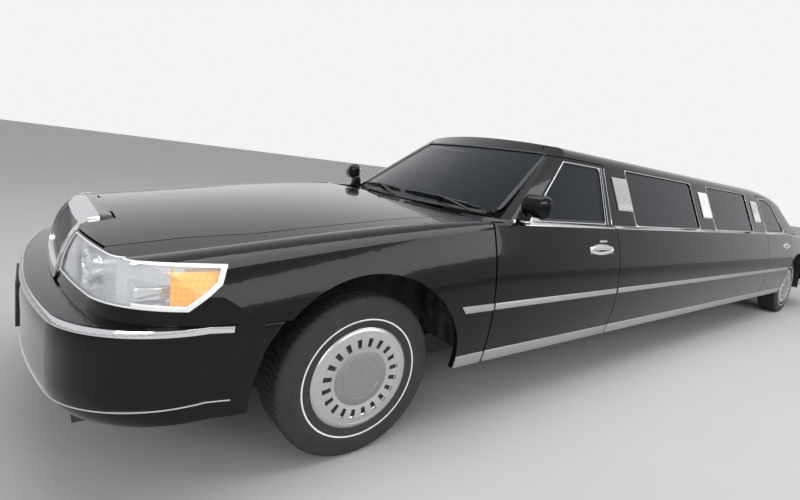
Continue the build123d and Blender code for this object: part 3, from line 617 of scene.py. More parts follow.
def seal(piece, body, kind, smooth=32):
    """Close a piece: apply its modifiers, smooth it, give it its finish and let it ride on a body."""
    object_mode()
    piece.select_set(True)
    bpy.context.view_layer.objects.active = piece
    for modifier in list(piece.modifiers):
        bpy.ops.object.modifier_apply(modifier=modifier.name)
    bpy.ops.object.transform_apply(location=True, rotation=True, scale=True)
    bpy.ops.object.shade_smooth_by_angle(angle=math.radians(smooth))
    piece.data.materials.clear()
    piece.data.materials.append(finish(kind))
    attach(piece, body)
    return piece


def between(x=None, s=None, z=None):
    """Cutting planes that keep what lies between two widths, two stations or two heights."""
    planes = []
    for axis, limits in enumerate((x, s and [at(value) for value in s], z)):
        for value, sign in zip(limits or (), (1, -1)):
            point, normal = [0, 0, 0], [0, 0, 0]
            point[axis], normal[axis] = value, sign
            planes.append((point, normal))
    return planes


def inside(corners, grow=0.0):
    """Cutting planes, seen from the side, that keep what lies inside a polygon of stations and heights."""
    planes = []
    area = sum(a[0] * b[1] - b[0] * a[1] for a, b in zip(corners, corners[1:] + corners[:1]))
    turn = 1 if area > 0 else -1
    for first, second in zip(corners, corners[1:] + corners[:1]):
        run, rise = second[0] - first[0], second[1] - first[1]
        length = math.hypot(run, rise)
        normal = Vector((0, -rise * turn / length, run * turn / length))
        point = Vector((0, at(first[0]), first[1])) - normal * grow
        planes.append((point, normal))
    return planes


def skin(name, node, cuts, facing, least=0.3, fatten=0.0):
    """A copy of a solid's surface where it faces one way, between cutting planes, open in edit mode."""
    object_mode()
    piece = bpy.data.objects.new(name, frame["nodes"][node].data.copy())
    piece.data.name = name
    bpy.context.scene.collection.objects.link(piece)
    open_piece(piece)
    bpy.ops.mesh.select_all(action="SELECT")
    bpy.ops.mesh.remove_doubles(threshold=MERGE_DISTANCE)
    facing = Vector(facing)
    pick("FACE", lambda place, normal: normal.dot(facing) < least)
    bpy.ops.mesh.delete(type="FACE")
    for point, normal in cuts:
        bpy.ops.mesh.select_all(action="SELECT")
        bpy.ops.mesh.bisect(plane_co=point, plane_no=normal, clear_inner=True)
    if fatten:
        bpy.ops.mesh.select_all(action="SELECT")
        bpy.ops.transform.shrink_fatten(value=fatten)
    bpy.ops.mesh.select_mode(type="VERT")
    bpy.ops.mesh.select_all(action="SELECT")
    bpy.ops.mesh.delete_loose()
    return piece


def rim(width):
    """Keep only a border of this width of the open surface."""
    bpy.ops.mesh.select_mode(type="FACE")
    bpy.ops.mesh.select_all(action="SELECT")
    bpy.ops.mesh.inset(thickness=width, depth=0.0, use_boundary=True, use_even_offset=True)
    bpy.ops.mesh.delete(type="FACE")


def side_place(station, z, lift=0.0):
    """A point on the plane of the left side windows, lifted off it."""
    steep = math.hypot(1, GLASS_LEAN)
    x = GLASS_FOOT[0] - (z - GLASS_FOOT[1]) * GLASS_LEAN
    return Vector((x + lift / steep, at(station), z + lift * GLASS_LEAN / steep))


def face_outward(sign):
    """Turn the open surface to the car's left if the sign is positive, otherwise to its right."""
    bpy.ops.mesh.select_all(action="SELECT")
    bpy.ops.mesh.normals_make_consistent(inside=False)
    mesh = bmesh.from_edit_mesh(bpy.context.object.data)
    if sum(face.normal.x for face in mesh.faces) * sign < 0:
        bpy.ops.mesh.flip_normals()


def rail(name, points, width, thickness, outward, rounding=0.0):
    """A flat strip along a line of points: its middle follows them, its face looks outward."""
    piece = start(name, "plane", size=1)
    bpy.ops.mesh.select_all(action="SELECT")
    bpy.ops.mesh.delete(type="VERT")
    data = piece.data
    mesh = bmesh.from_edit_mesh(data)
    points = [Vector(point) for point in points]
    outward = Vector(outward).normalized()
    rows = []
    for index, point in enumerate(points):
        before, after = points[max(index - 1, 0)], points[min(index + 1, len(points) - 1)]
        across = (after - before).normalized().cross(outward).normalized() * width / 2
        rows.append((mesh.verts.new(point - across), mesh.verts.new(point + across)))
    for (first, second), (third, fourth) in zip(rows, rows[1:]):
        mesh.faces.new((first, second, fourth, third))
    bmesh.update_edit_mesh(data)
    bpy.ops.mesh.select_all(action="SELECT")
    bpy.ops.mesh.normals_make_consistent(inside=False)
    mesh = bmesh.from_edit_mesh(data)
    mesh.faces.ensure_lookup_table()
    mesh.normal_update()
    if mesh.faces[0].normal.dot(outward) < 0:
        bpy.ops.mesh.flip_normals()
    thicken(piece, thickness, 1.0, rounding)
    return piece


def turned(name, middle, axis, profile, steps=64):
    """A ring or disc turned about an axis. Profile rows: distance along the axis from its middle, radius."""
    piece = start(name, "plane", size=1)
    bpy.ops.mesh.select_all(action="SELECT")
    bpy.ops.mesh.delete(type="VERT")
    middle, axis = Vector(middle), Vector(axis).normalized()
    side = axis.orthogonal().normalized()
    data = piece.data
    mesh = bmesh.from_edit_mesh(data)
    corners = [mesh.verts.new(middle + axis * along + side * radius) for along, radius in profile]
    for first, second in zip(corners, corners[1:]):
        mesh.edges.new((first, second))
    bmesh.update_edit_mesh(data)
    bpy.ops.mesh.select_all(action="SELECT")
    bpy.ops.mesh.spin(steps=steps, angle=2 * math.pi, center=middle, axis=axis)
    bpy.ops.mesh.select_all(action="SELECT")
    bpy.ops.mesh.remove_doubles(threshold=MERGE_DISTANCE)
    bpy.ops.mesh.select_all(action="SELECT")
    bpy.ops.mesh.normals_make_consistent(inside=False)
    return piece


# Settings


class LimousineLook(bpy.types.PropertyGroup):
    """Colours a user may change."""

    paint: bpy.props.FloatVectorProperty(
        name="Paint", description="Colour of the bodywork", subtype="COLOR", size=3, min=0, max=1,
        default=(0.0035, 0.0038, 0.0048))
    silver: bpy.props.FloatVectorProperty(
        name="Wheel silver", description="Colour of the wheel covers", subtype="COLOR", size=3, min=0, max=1,
        default=(0.58, 0.58, 0.59))


class LimousineView(bpy.types.PropertyGroup):
    """Where the camera stands."""

    place: bpy.props.FloatVectorProperty(
        name="Place", description="Camera position from the front axle", subtype="TRANSLATION", size=3,
        unit="LENGTH", default=(2.5261, -0.9999, 1.2414))
    yaw: bpy.props.FloatProperty(
        name="Yaw", description="Turn towards the car, from straight along it", subtype="ANGLE",
        default=0.809)
    pitch: bpy.props.FloatProperty(
        name="Pitch", description="Tilt above the horizon", subtype="ANGLE", default=-0.140)
    roll: bpy.props.FloatProperty(
        name="Roll", description="Turn about the line of sight", subtype="ANGLE", default=0.138)
    lens: bpy.props.FloatProperty(
        name="Lens", description="Focal length on a 36 mm sensor", unit="CAMERA", default=21.53)
    shift: bpy.props.FloatVectorProperty(
        name="Shift", description="Sideways and upward shift as shares of the width", size=2,
        default=(-0.0952, -0.0132))


# Operators


class LIMOUSINE_OT_stage(bpy.types.Operator):
    """Floor, light and camera"""

    bl_idname = "limousine.stage"
    bl_label = "Stage"

    def execute(self, context):
        bpy.ops.object.select_all(action="DESELECT")
        bpy.ops.mesh.primitive_plane_add(size=120, location=(0, 0, -0.001))
        floor = context.object
        floor.name = "studio_floor"
        floor.data.materials.append(finish("floor"))
        self.surroundings(context)
        self.lamps()
        self.camera(context)
        context.scene.view_settings.view_transform = "Standard"
        return {"FINISHED"}

    def surroundings(self, context):
        world = bpy.data.worlds.new("studio")
        context.scene.world = world
        world.use_nodes = True
        tree = world.node_tree
        light_path = tree.nodes.new("ShaderNodeLightPath")
        shown = tree.nodes.new("ShaderNodeMath")
        shown.operation = "MAXIMUM"
        tree.links.new(light_path.outputs["Is Camera Ray"], shown.inputs[0])
        clear = tree.nodes.new("ShaderNodeMath")
        clear.operation = "MAXIMUM"
        tree.links.new(shown.outputs[0], clear.inputs[0])
        tree.links.new(light_path.outputs["Is Transmission Ray"], clear.inputs[1])
        strength = tree.nodes.new("ShaderNodeMapRange")
        tree.links.new(clear.outputs[0], strength.inputs["Value"])
        strength.inputs["To Min"].default_value = 0.50
        strength.inputs["To Max"].default_value = 0.92
        back = tree.nodes["Background"]
        back.inputs["Color"].default_value = rgb(0.97, 0.98, 1.0)
        tree.links.new(strength.outputs[0], back.inputs["Strength"])

    def lamps(self):
        # Columns: name, place, aimed at, width, height, power
        rows = (
            ("overhead", (1.5, -1.0, 6.5), (0.0, 0.0, 0.6), 10.0, 4.0, 420.0),
            ("front_fill", (5.5, -8.5, 3.6), (0.4, -3.2, 0.6), 4.0, 3.0, 170.0),
            ("side_fill", (9.0, 1.5, 4.2), (0.8, 0.5, 0.6), 9.0, 3.0, 260.0),
        )
        for name, place, aim, width, height, power in rows:
            light = bpy.data.lights.new(name, "AREA")
            light.shape = "RECTANGLE"
            light.size = width
            light.size_y = height
            light.energy = power
            lamp = bpy.data.objects.new(name, light)
            bpy.context.scene.collection.objects.link(lamp)
            lamp.location = place
            lamp.rotation_euler = (Vector(aim) - Vector(place)).to_track_quat("-Z", "Y").to_euler()

    def camera(self, context):
        view = context.scene.limousine_view
        ahead = Vector((-math.sin(view.yaw) * math.cos(view.pitch),
                        math.cos(view.yaw) * math.cos(view.pitch), math.sin(view.pitch)))
        level = ahead.cross(Vector((0, 0, 1))).normalized()
        upright = level.cross(ahead)
        right = level * math.cos(view.roll) + upright * math.sin(view.roll)
        up = upright * math.cos(view.roll) - level * math.sin(view.roll)
        data = bpy.data.cameras.new("view")
        data.lens = view.lens
        data.sensor_width = 36
        data.shift_x, data.shift_y = view.shift
        data.clip_end = 200
        camera = bpy.data.objects.new("view", data)
        context.scene.collection.objects.link(camera)
        turn = Matrix((right, up, -ahead)).transposed().to_4x4()
        place = Vector((view.place[0], at(view.place[1]), view.place[2]))
        camera.matrix_world = Matrix.Translation(place) @ turn
        context.scene.camera = camera


class LIMOUSINE_OT_finishes(bpy.types.Operator):
    """Finish of every solid piece"""

    bl_idname = "limousine.finishes"
    bl_label = "Finishes"

    def execute(self, context):
        for name, node in frame["nodes"].items():
            kind = next(kind for start, kind in NODE_FINISHES if name.startswith(start))
            for slot in node.material_slots:
                slot.material = finish(kind)
        return {"FINISHED"}


# Corners of the door windows: station, height
FRONT_WINDOW = [(0.952, 1.026), (1.352, 1.366), (1.735, 1.366), (1.672, 1.026)]
REAR_WINDOW = [(4.905, 1.026), (4.920, 1.364), (5.165, 1.364), (5.350, 1.316), (5.570, 1.026)]
# Front and rear station of the fixed windows
SIDE_WINDOWS = ((2.065, 3.140), (3.482, 4.485))
WINDOW_FOOT, WINDOW_HEAD = 1.022, 1.384


def body_of(node):
    return BODY_OF.get(node, "body")


class LIMOUSINE_OT_brightwork(bpy.types.Operator):
    """Chrome along the belt, round the side windows, on the pillars and on the bumpers, with a thin chrome line as
    painted highlight on a bumper crease
    """

    bl_idname = "limousine.brightwork"
    bl_label = "Brightwork"

    def execute(self, context):
        for label, sign in SIDES:
            self.belt(label, sign)
            self.window_frames(label, sign)
            self.pillar_lines(label, sign)
        self.bumper_strips()
        return {"FINISHED"}

    def belt(self, label, sign):
        # Columns: node, front, rear
        rows = (("front_door", 0.870, 1.748), ("side", 1.758, 4.818), ("rear_door", 4.834, 5.674))
        for node, front, rear in rows:
            name = f"{node}_{label}"
            cuts = between(s=(front, rear), z=(1.0006, 1.0150))
            piece = skin("belt_" + name, name, cuts, (sign, 0, 0.8), 0.45)
            thicken(piece, 0.0045, 1.0, 0.0015)
            seal(piece, body_of(name), "chrome")

    def window_frames(self, label, sign):
        for node, corners in (("front_door", FRONT_WINDOW), ("rear_door", REAR_WINDOW)):
            name = f"{node}_{label}"
            cuts = inside(corners, 0.006)[:-1] + between(z=(1.0205, 1.45))[:1]
            piece = skin("window_frame_" + name, name, cuts, (sign, 0, 0.4), 0.6)
            thicken(piece, 0.0030, 1.0, 0.0010)
            seal(piece, body_of(name), "chrome")
        for number, (start_at, end_at) in enumerate(SIDE_WINDOWS):
            corners = [(start_at, WINDOW_FOOT), (start_at, WINDOW_HEAD),
                       (end_at, WINDOW_HEAD), (end_at, WINDOW_FOOT)]
            cuts = inside(corners, 0.0045)
            piece = skin(f"window_frame_{number + 1}_{label}", "side_" + label, cuts, (sign, 0, 0.4), 0.6)
            thicken(piece, 0.0025, 1.0, 0.0008)
            seal(piece, "body", "chrome")

    def pillar_lines(self, label, sign):
        node, width = "front_door_" + label, 0.006
        # Columns: name, foot station, head station
        rows = (("pillar_line_inner", 1.7000, 1.7570), ("pillar_line_outer", 1.7460, 1.7900))
        for name, foot, head in rows:
            run = Vector((0, head - foot, 0.34)).normalized()
            normal = Vector((0, run.z, -run.y))
            point = Vector((0, at(foot), 1.026))
            cuts = [(point - normal * width / 2, normal), (point + normal * width / 2, -normal)]
            piece = skin(f"{name}_{label}", node, cuts + between(z=(1.021, 1.372)), (sign, 0, 0.4), 0.6)
            thicken(piece, 0.0035, 1.0, 0.0012)
            seal(piece, body_of(node), "chrome")

    def bumper_strips(self):
        # Columns: node, front and rear limit, station from which its strips face away
        bumpers = (("front_bumper", (-1.03, -0.515), -0.55), ("rear_bumper", (6.965, 7.50), 6.75))
        # Columns: name, foot, head, thickness
        # The second row is no real trim: a thin chrome line that paints the highlight along a crease of the
        # painted bumper.
        for name, foot, head, depth in (("strip", 0.6290, 0.6500, 0.0045), ("lip", 0.3960, 0.4005, 0.0035)):
            for node, limits, middle in bumpers:
                piece = skin(f"{name}_{node}", node, between(s=limits, z=(foot, head)), (0, 0, 1), -0.7)
                pick("FACE", lambda place, normal: normal.x * place.x + normal.y * (place.y - at(middle)) < 0
                     or abs(normal.z) > 0.9)
                bpy.ops.mesh.delete(type="FACE")
                thicken(piece, depth, 1.0, 0.0012)
                seal(piece, "body", "chrome")


class LIMOUSINE_OT_bumper_ends(bpy.types.Operator):
    """Sides of the bumpers as far as the wheel arches, and liners of the rear arches"""

    bl_idname = "limousine.bumper_ends"
    bl_label = "Bumper ends"

    def execute(self, context):
        for label, sign in SIDES:
            self.panel(f"bumper_end_front_{label}", sign, 0.0, -1, 0.462, 0.512)
            self.panel(f"bumper_end_rear_{label}", sign, WHEELBASE, 1, 0.444, 0.930)
            self.liner(f"arch_liner_{label}", sign)
        return {"FINISHED"}

    def panel(self, name, sign, station, along, radius, reach):
        """A side panel from the arch to where the bumper starts. Its foot and head turn in."""
        # Columns: height, drawn in by
        rows = ((0.340, 0.022), (0.352, 0.006), (0.372, 0.001), (0.430, 0.0), (0.500, 0.0),
                (0.570, 0.0), (0.620, 0.0), (0.640, 0.001), (0.648, 0.005), (0.651, 0.016))
        columns, face_x = 12, 0.9620
        piece = start(name, "grid", x_subdivisions=columns, y_subdivisions=len(rows) - 1, size=2)

        def place_of(index, place):
            z, inset = rows[round((place.y + 1) / 2 * (len(rows) - 1))]
            near = math.sqrt(radius ** 2 - (z - AXLE_Z) ** 2)
            share = (place.x + 1) / 2
            return Vector((sign * (face_x - inset), at(station + along * (near + (reach - near) * share)), z))

        move_corners(place_of)
        face_outward(sign)
        thicken(piece, 0.0035, 1.0)
        seal(piece, "body", "paint", 50)

    def liner(self, name, sign):
        """A strip bent over the rear wheel, a little more than half a turn long."""
        steps, radius, inner_x, width = 36, 0.4500, 0.600, 0.345
        piece = start(name, "grid", x_subdivisions=steps, y_subdivisions=2, size=2)

        def place_of(index, place):
            turn = math.pi * (place.x + 1) / 2 * 1.06 - 0.03 * math.pi
            x = inner_x + width * (place.y + 1) / 2
            y = at(WHEELBASE) + radius * math.cos(turn)
            return Vector((sign * x, y, AXLE_Z + radius * math.sin(turn)))

        move_corners(place_of)
        thicken(piece, 0.003, 0.0)
        seal(piece, "body", "seal", 50)


class LIMOUSINE_OT_nose(bpy.types.Operator):
    """Shelf and plate bracket on the bumper, painted rear of the grille's cap, fillers beside the grille"""

    bl_idname = "limousine.nose"
    bl_label = "Nose"

    def execute(self, context):
        self.shelf()
        self.plate_bracket()
        cap = skin("grille_cap_rear", "grille", between(s=(-0.808, -0.70), z=(0.872, 1.0)), (0, 0, 1), 0.5)
        thicken(cap, 0.0012, 1.0)
        seal(cap, body_of("grille"), "paint", 50)
        for label, sign in SIDES:
            low, high = sorted((sign * 0.322, sign * 0.352))
            filler = block("grille_side_" + label, (low, at(-0.905), 0.655), (high, at(-0.850), 0.755), 0.004)
            seal(filler, "body", "paint", 50)
        return {"FINISHED"}

    def plate_bracket(self):
        """Bare bracket on the bumper for a number plate: a frame of four bars, open in the middle."""
        # Columns: name, low and high X, foot, head
        bars = (("foot", -0.158, 0.158, 0.438, 0.456), ("head", -0.158, 0.158, 0.590, 0.608),
                ("left", 0.120, 0.158, 0.452, 0.594), ("right", -0.158, -0.120, 0.452, 0.594))
        for name, low, high, foot, head in bars:
            bar = block("plate_bracket_" + name, (low, at(-1.0345), foot), (high, at(-1.0225), head), 0.003)
            seal(bar, "body", "seal", 50)

    def outline(self, turn):
        """The bumper's edge seen from above, from -1 to 1 across the car, as width and station."""
        side, share = (1 if turn > 0 else -1), abs(turn)
        front, middle_run, middle_x, sweep = -1.008, 0.55, 0.690, 0.062
        if share < middle_run:
            x = middle_x * share / middle_run
            return side * x, front + sweep * (x / middle_x) ** 2
        part = (share - middle_run) / (1 - middle_run)
        corners = ((middle_x, front + sweep), (0.905, -0.935), (0.948, -0.585))
        weights = ((1 - part) ** 2, 2 * part * (1 - part), part ** 2)
        x = sum(weight * corner[0] for weight, corner in zip(weights, corners))
        return side * x, sum(weight * corner[1] for weight, corner in zip(weights, corners))

    def shelf(self):
        """A shelf drawn in from the bumper's edge towards a point on the middle line, rising a little."""
        piece = start("nose_shelf", "grid", x_subdivisions=64, y_subdivisions=4, size=2)
        centre = -0.30

        def place_of(index, place):
            x, station = self.outline(place.x)
            share, ahead = (place.y + 1) / 2, station - centre
            scale = 1 - (0.006 + 0.125 * share) / math.hypot(x, ahead)
            return Vector((x * scale, at(centre + ahead * scale), 0.6510 + 0.010 * share))

        move_corners(place_of)
        bpy.ops.mesh.select_all(action="SELECT")
        bpy.ops.mesh.normals_make_consistent(inside=False)
        thicken(piece, 0.003, 0.0)
        seal(piece, "body", "paint", 50)


class LIMOUSINE_OT_mouldings(bpy.types.Operator):
    """Satin strips on the flank and the rocker"""

    bl_idname = "limousine.mouldings"
    bl_label = "Mouldings"

    def execute(self, context):
        # Columns: name, front of the wing's run, foot, head, thickness
        rows = (("moulding", 0.430, 0.5985, 0.6305, 0.0090), ("rocker_strip", 0.300, 0.3185, 0.3800, 0.0060))
        for label, sign in SIDES:
            for name, front, foot, head, depth in rows:
                # Columns: node, front, rear
                runs = (("wing", front, 0.634), ("front_door", 0.644, 1.747), ("side", 1.757, 4.820),
                        ("rear_door", 4.831, 5.66))
                for node, begin, end in runs:
                    part = f"{node}_{label}"
                    cuts = between(s=(begin, end), z=(foot, head))
                    if node == "wing" and name == "moulding":
                        slope = Vector((0, 0.8, 0.6))
                        cuts.append((Vector((0, at(begin + 0.012), (foot + head) / 2)), slope))
                    piece = skin(f"{name}_{part}", part, cuts, (sign, 0, 0), 0.9)
                    pick("FACE", lambda place, normal: abs(place.x) < 0.93)
                    bpy.ops.mesh.delete(type="FACE")
                    thicken(piece, depth, 1.0, 0.0030)
                    seal(piece, body_of(part), "satin")
        return {"FINISHED"}


class LIMOUSINE_OT_seals(bpy.types.Operator):
    """Black rubber and printed borders round the glass"""

    bl_idname = "limousine.seals"
    bl_label = "Seals"

    def execute(self, context):
        # Columns: glass, facing, width, fattened by
        rows = [("windscreen", (0, -1, 1), 0.022, 0.0012), ("rear_window", (0, 1, 1), 0.030, 0.0012)]
        for label, sign in SIDES:
            rows.append((f"front_glass_{label}", (sign, 0, 0.4), 0.012, 0.0010))
            rows.append((f"rear_glass_{label}", (sign, 0, 0.4), 0.012, 0.0010))
        for node, facing, width, out in rows:
            piece = skin("seal_" + node, node, [], facing, 0.75)
            rim(width)
            thicken(piece, out + 0.001, 1.0)
            seal(piece, body_of(node), "seal")
        return {"FINISHED"}


class LIMOUSINE_OT_headlamps(bpy.types.Operator):
    """Rims, amber marker, projector and reflector blocks of the headlamps"""

    bl_idname = "limousine.headlamps"
    bl_label = "Headlamps"

    def execute(self, context):
        for label, sign in SIDES:
            side = between(x=(0.0, 1.2)) if sign > 0 else between(x=(-1.2, 0.0))
            outward = (sign * 0.5, -1, 0)
            self.bezel(label, side, outward)
            self.amber(label, sign, side, outward)
            self.reflectors(label, sign)
        return {"FINISHED"}

    def bezel(self, label, side, outward):
        """A thin rim all round, and a broad one round the outer end."""
        for name, width, front in (("lamp_rim_", 0.005, -1.2), ("lamp_bezel_", 0.017, -0.800)):
            piece = skin(name + label, "headlamp_lenses", side + between(s=(front, -0.4)), outward, 0.05)
            rim(width)
            pick("FACE", lambda place, normal: place.y < at(front) + width * 1.5)
            bpy.ops.mesh.delete(type="FACE")
            thicken(piece, 0.0022, 1.0, 0.0008)
            seal(piece, "body", "bezel")

    def amber(self, label, sign, side, outward):
        cuts = side + between(s=(-0.690, -0.545), z=(0.716, 0.822))
        piece = skin("amber_marker_" + label, "headlamp_lenses", cuts, outward, 0.05, -0.0095)
        thicken(piece, -0.004, 1.0)
        seal(piece, "body", "amber")

    def reflectors(self, label, sign):
        low = (sign * 0.640, at(-0.770), 0.712)
        high = (sign * 0.840, at(-0.640), 0.760)
        corners = [tuple(f(a, b) for a, b in zip(low, high)) for f in (min, max)]
        piece = block("lamp_block_" + label, corners[0], corners[1], 0.010, 3)
        seal(piece, "body", "bowl")
        middle = Vector((sign * 0.520, at(-0.845), 0.762))
        axis = Vector((sign * 0.18, -1.0, 0.0)).normalized()
        profile = [(-0.030, 0.0), (-0.030, 0.046), (0.004, 0.058), (0.012, 0.058), (0.012, 0.050),
                   (0.000, 0.044), (-0.004, 0.036), (0.014, 0.020), (0.020, 0.0)]
        piece = turned("projector_" + label, middle, axis, profile, 40)
        seal(piece, "body", "bowl")


class LIMOUSINE_OT_handles(bpy.types.Operator):
    """Door handles and the keypad"""

    bl_idname = "limousine.handles"
    bl_label = "Door handles"

    def execute(self, context):
        for label, sign in SIDES:
            for door, station, z in (("front_door", 1.560, 0.878), ("rear_door", 5.500, 0.880)):
                self.handle(f"{door}_{label}", sign, station, z)
            if sign > 0:
                self.keypad(f"front_door_{label}", sign, 1.575, 0.926)
        return {"FINISHED"}

    def wall_x(self, z):
        """Width of the flank at a height between the waist and the shoulder."""
        waist_z, shoulder_z, waist_x, shoulder_x = 0.640, 1.000, 0.993, 0.920
        share = (z - waist_z) / (shoulder_z - waist_z)
        return waist_x + (shoulder_x - waist_x) * share ** 1.9

    def handle(self, node, sign, station, z):
        face = self.wall_x(z)
        lean = (self.wall_x(z - 0.02) - self.wall_x(z + 0.02)) / 0.04
        count = 40
        piece = start("handle_plate_" + node, "circle", vertices=count, fill_type="NGON")

        def oval(index, place):
            turn = 2 * math.pi * index / count
            run, rise = 0.128 * math.cos(turn), 0.032 * math.sin(turn)
            y = at(station + run * (1 - 0.08 * math.sin(turn)))
            return Vector((sign * (face - lean * rise + 0.001), y, z + rise))

        move_corners(oval)
        bpy.ops.mesh.select_all(action="SELECT")
        bpy.ops.mesh.normals_make_consistent(inside=False)
        pick("FACE", lambda place, normal: normal.x * sign < 0)
        bpy.ops.mesh.flip_normals()
        bpy.ops.mesh.select_all(action="SELECT")
        bpy.ops.mesh.inset(thickness=0.006, depth=0.007)
        bpy.ops.mesh.inset(thickness=0.006, depth=-0.002)
        bpy.ops.mesh.inset(thickness=0.007, depth=-0.006)
        seal(piece, body_of(node), "chrome", 50)
        low, high = sorted((sign * (face - 0.006), sign * (face + 0.014)))
        grip = block("handle_grip_" + node, (low, at(station - 0.100), z - 0.004),
                     (high, at(station + 0.100), z + 0.018), 0.006, 3)
        pick("VERT", lambda place, normal: abs(place.y - at(station)) > 0.080)
        bpy.ops.transform.translate(value=(-sign * 0.006, 0, 0))
        seal(grip, body_of(node), "chrome", 50)

    def keypad(self, node, sign, station, z):
        face = self.wall_x(z)
        low, high = sorted((sign * (face - 0.004), sign * (face + 0.004)))
        piece = block("keypad_" + node, (low, at(station - 0.046), z - 0.010),
                      (high, at(station + 0.046), z + 0.010), 0.003)
        seal(piece, body_of(node), "seal")
        low, high = sorted((sign * face, sign * (face + 0.0065)))
        for index in range(5):
            middle = station + (index - 2) * 0.0165
            key = block(f"key_{index + 1}_{node}", (low, at(middle - 0.0065), z - 0.0060),
                        (high, at(middle + 0.0065), z + 0.0060), 0.0018)
            seal(key, body_of(node), "chrome")


class LIMOUSINE_OT_mirrors(bpy.types.Operator):
    """Door mirrors with their feet and glass"""

    bl_idname = "limousine.mirrors"
    bl_label = "Mirrors"

    def execute(self, context):
        for label, sign in SIDES:
            node = "front_door_" + label
            self.head(label, node, sign)
            self.foot(label, node, sign)
            self.glass(label, node, sign)
        return {"FINISHED"}

    def head(self, label, node, sign):
        root, width, rear, length, level = 0.874, 0.178, 0.915, 0.093, 1.111
        low, high = sorted((sign * root, sign * (root + width)))
        piece = block("mirror_" + label, (low, at(rear - length), 1.046), (high, at(rear), 1.176), 0.044, 6)
        # The front narrows to a rounded nose and the outer end sweeps back
        data = piece.data
        mesh = bmesh.from_edit_mesh(data)
        for corner in mesh.verts:
            depth = (at(rear) - corner.co.y) / length
            out = (abs(corner.co.x) - root) / width
            corner.co.z = level + (corner.co.z - level) * (1 - 0.30 * depth ** 2) - 0.006 * out * depth
            corner.co.x = sign * (root + width * (out + (0.42 - out) * 0.22 * depth ** 2))
            corner.co.y += 0.034 * out ** 2 * depth
        bmesh.update_edit_mesh(data)
        pick("FACE", lambda place, normal: normal.y > 0.95 and place.y > at(0.905))
        bpy.ops.mesh.inset(thickness=0.006, depth=0.0)
        bpy.ops.mesh.inset(thickness=0.002, depth=-0.008)
        smooth = piece.modifiers.new("round", "SUBSURF")
        smooth.levels = smooth.render_levels = 1
        seal(piece, body_of(node), "paint", 50)

    def foot(self, label, node, sign):
        low, high = sorted((sign * 0.862, sign * 0.918))
        piece = block("mirror_foot_" + label, (low, at(0.842), 1.004), (high, at(0.912), 1.075), 0.010, 3)
        pick("VERT", lambda place, normal: place.z > 1.04)
        bpy.ops.transform.resize(value=(0.8, 0.72, 1), center_override=(sign * 0.885, at(0.885), 1.075))
        seal(piece, body_of(node), "paint", 50)
        low, high = sorted((sign * 0.900, sign * 0.930))
        piece = block("mirror_foot_trim_" + label, (low, at(0.842), 1.016), (high, at(0.925), 1.026),
                      0.004, 3)
        seal(piece, body_of(node), "chrome", 50)

    def glass(self, label, node, sign):
        low, high = sorted((sign * 0.900, sign * 1.026))
        corners = [(low, 1.072), (low, 1.150), (high, 1.150), (high, 1.072)]
        piece = start("mirror_face_" + label, "circle", vertices=4, fill_type="NGON")
        move_corners(lambda index, place: Vector((corners[index][0], at(0.9115), corners[index][1])))
        bpy.ops.mesh.select_all(action="SELECT")
        bpy.ops.mesh.bevel(offset=0.022, segments=6, affect="VERTICES")
        thicken(piece, 0.002, 0.0)
        seal(piece, body_of(node), "mirror")


class LIMOUSINE_OT_light_panels(bpy.types.Operator):
    """Ribbed light panels on the pillars, their ribs pointed at both ends"""

    bl_idname = "limousine.light_panels"
    bl_label = "Light panels"

    def execute(self, context):
        foot, head = 1.120, 1.320
        columns = 2 * PANEL_RIBS
        for label, sign in SIDES:
            for number, begin in enumerate((1.866, 3.262, 4.605)):
                name = f"light_panel_{number + 1}_{label}"
                piece = start(name, "grid", x_subdivisions=columns, y_subdivisions=3, size=2)

                def place_of(index, place):
                    column = round((place.x + 1) / 2 * columns)
                    row = round((place.y + 1) / 2 * 3)
                    ridge = column % 2
                    end = 0.008 if ridge else 0.0
                    z = (foot - end, foot + 0.010, head - 0.010, head + end)[row]
                    lift = 0.011 if ridge and row in (1, 2) else 0.0045
                    spot = side_place(begin + PANEL_WIDTH * column / columns, z, lift)
                    return Vector((sign * spot.x, spot.y, spot.z))

                move_corners(place_of)
                face_outward(sign)
                thicken(piece, 0.004, -1.0)
                seal(piece, "body", "panel", 20)
                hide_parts("light_panels")
        return {"FINISHED"}


TYRE_STEPS = 216


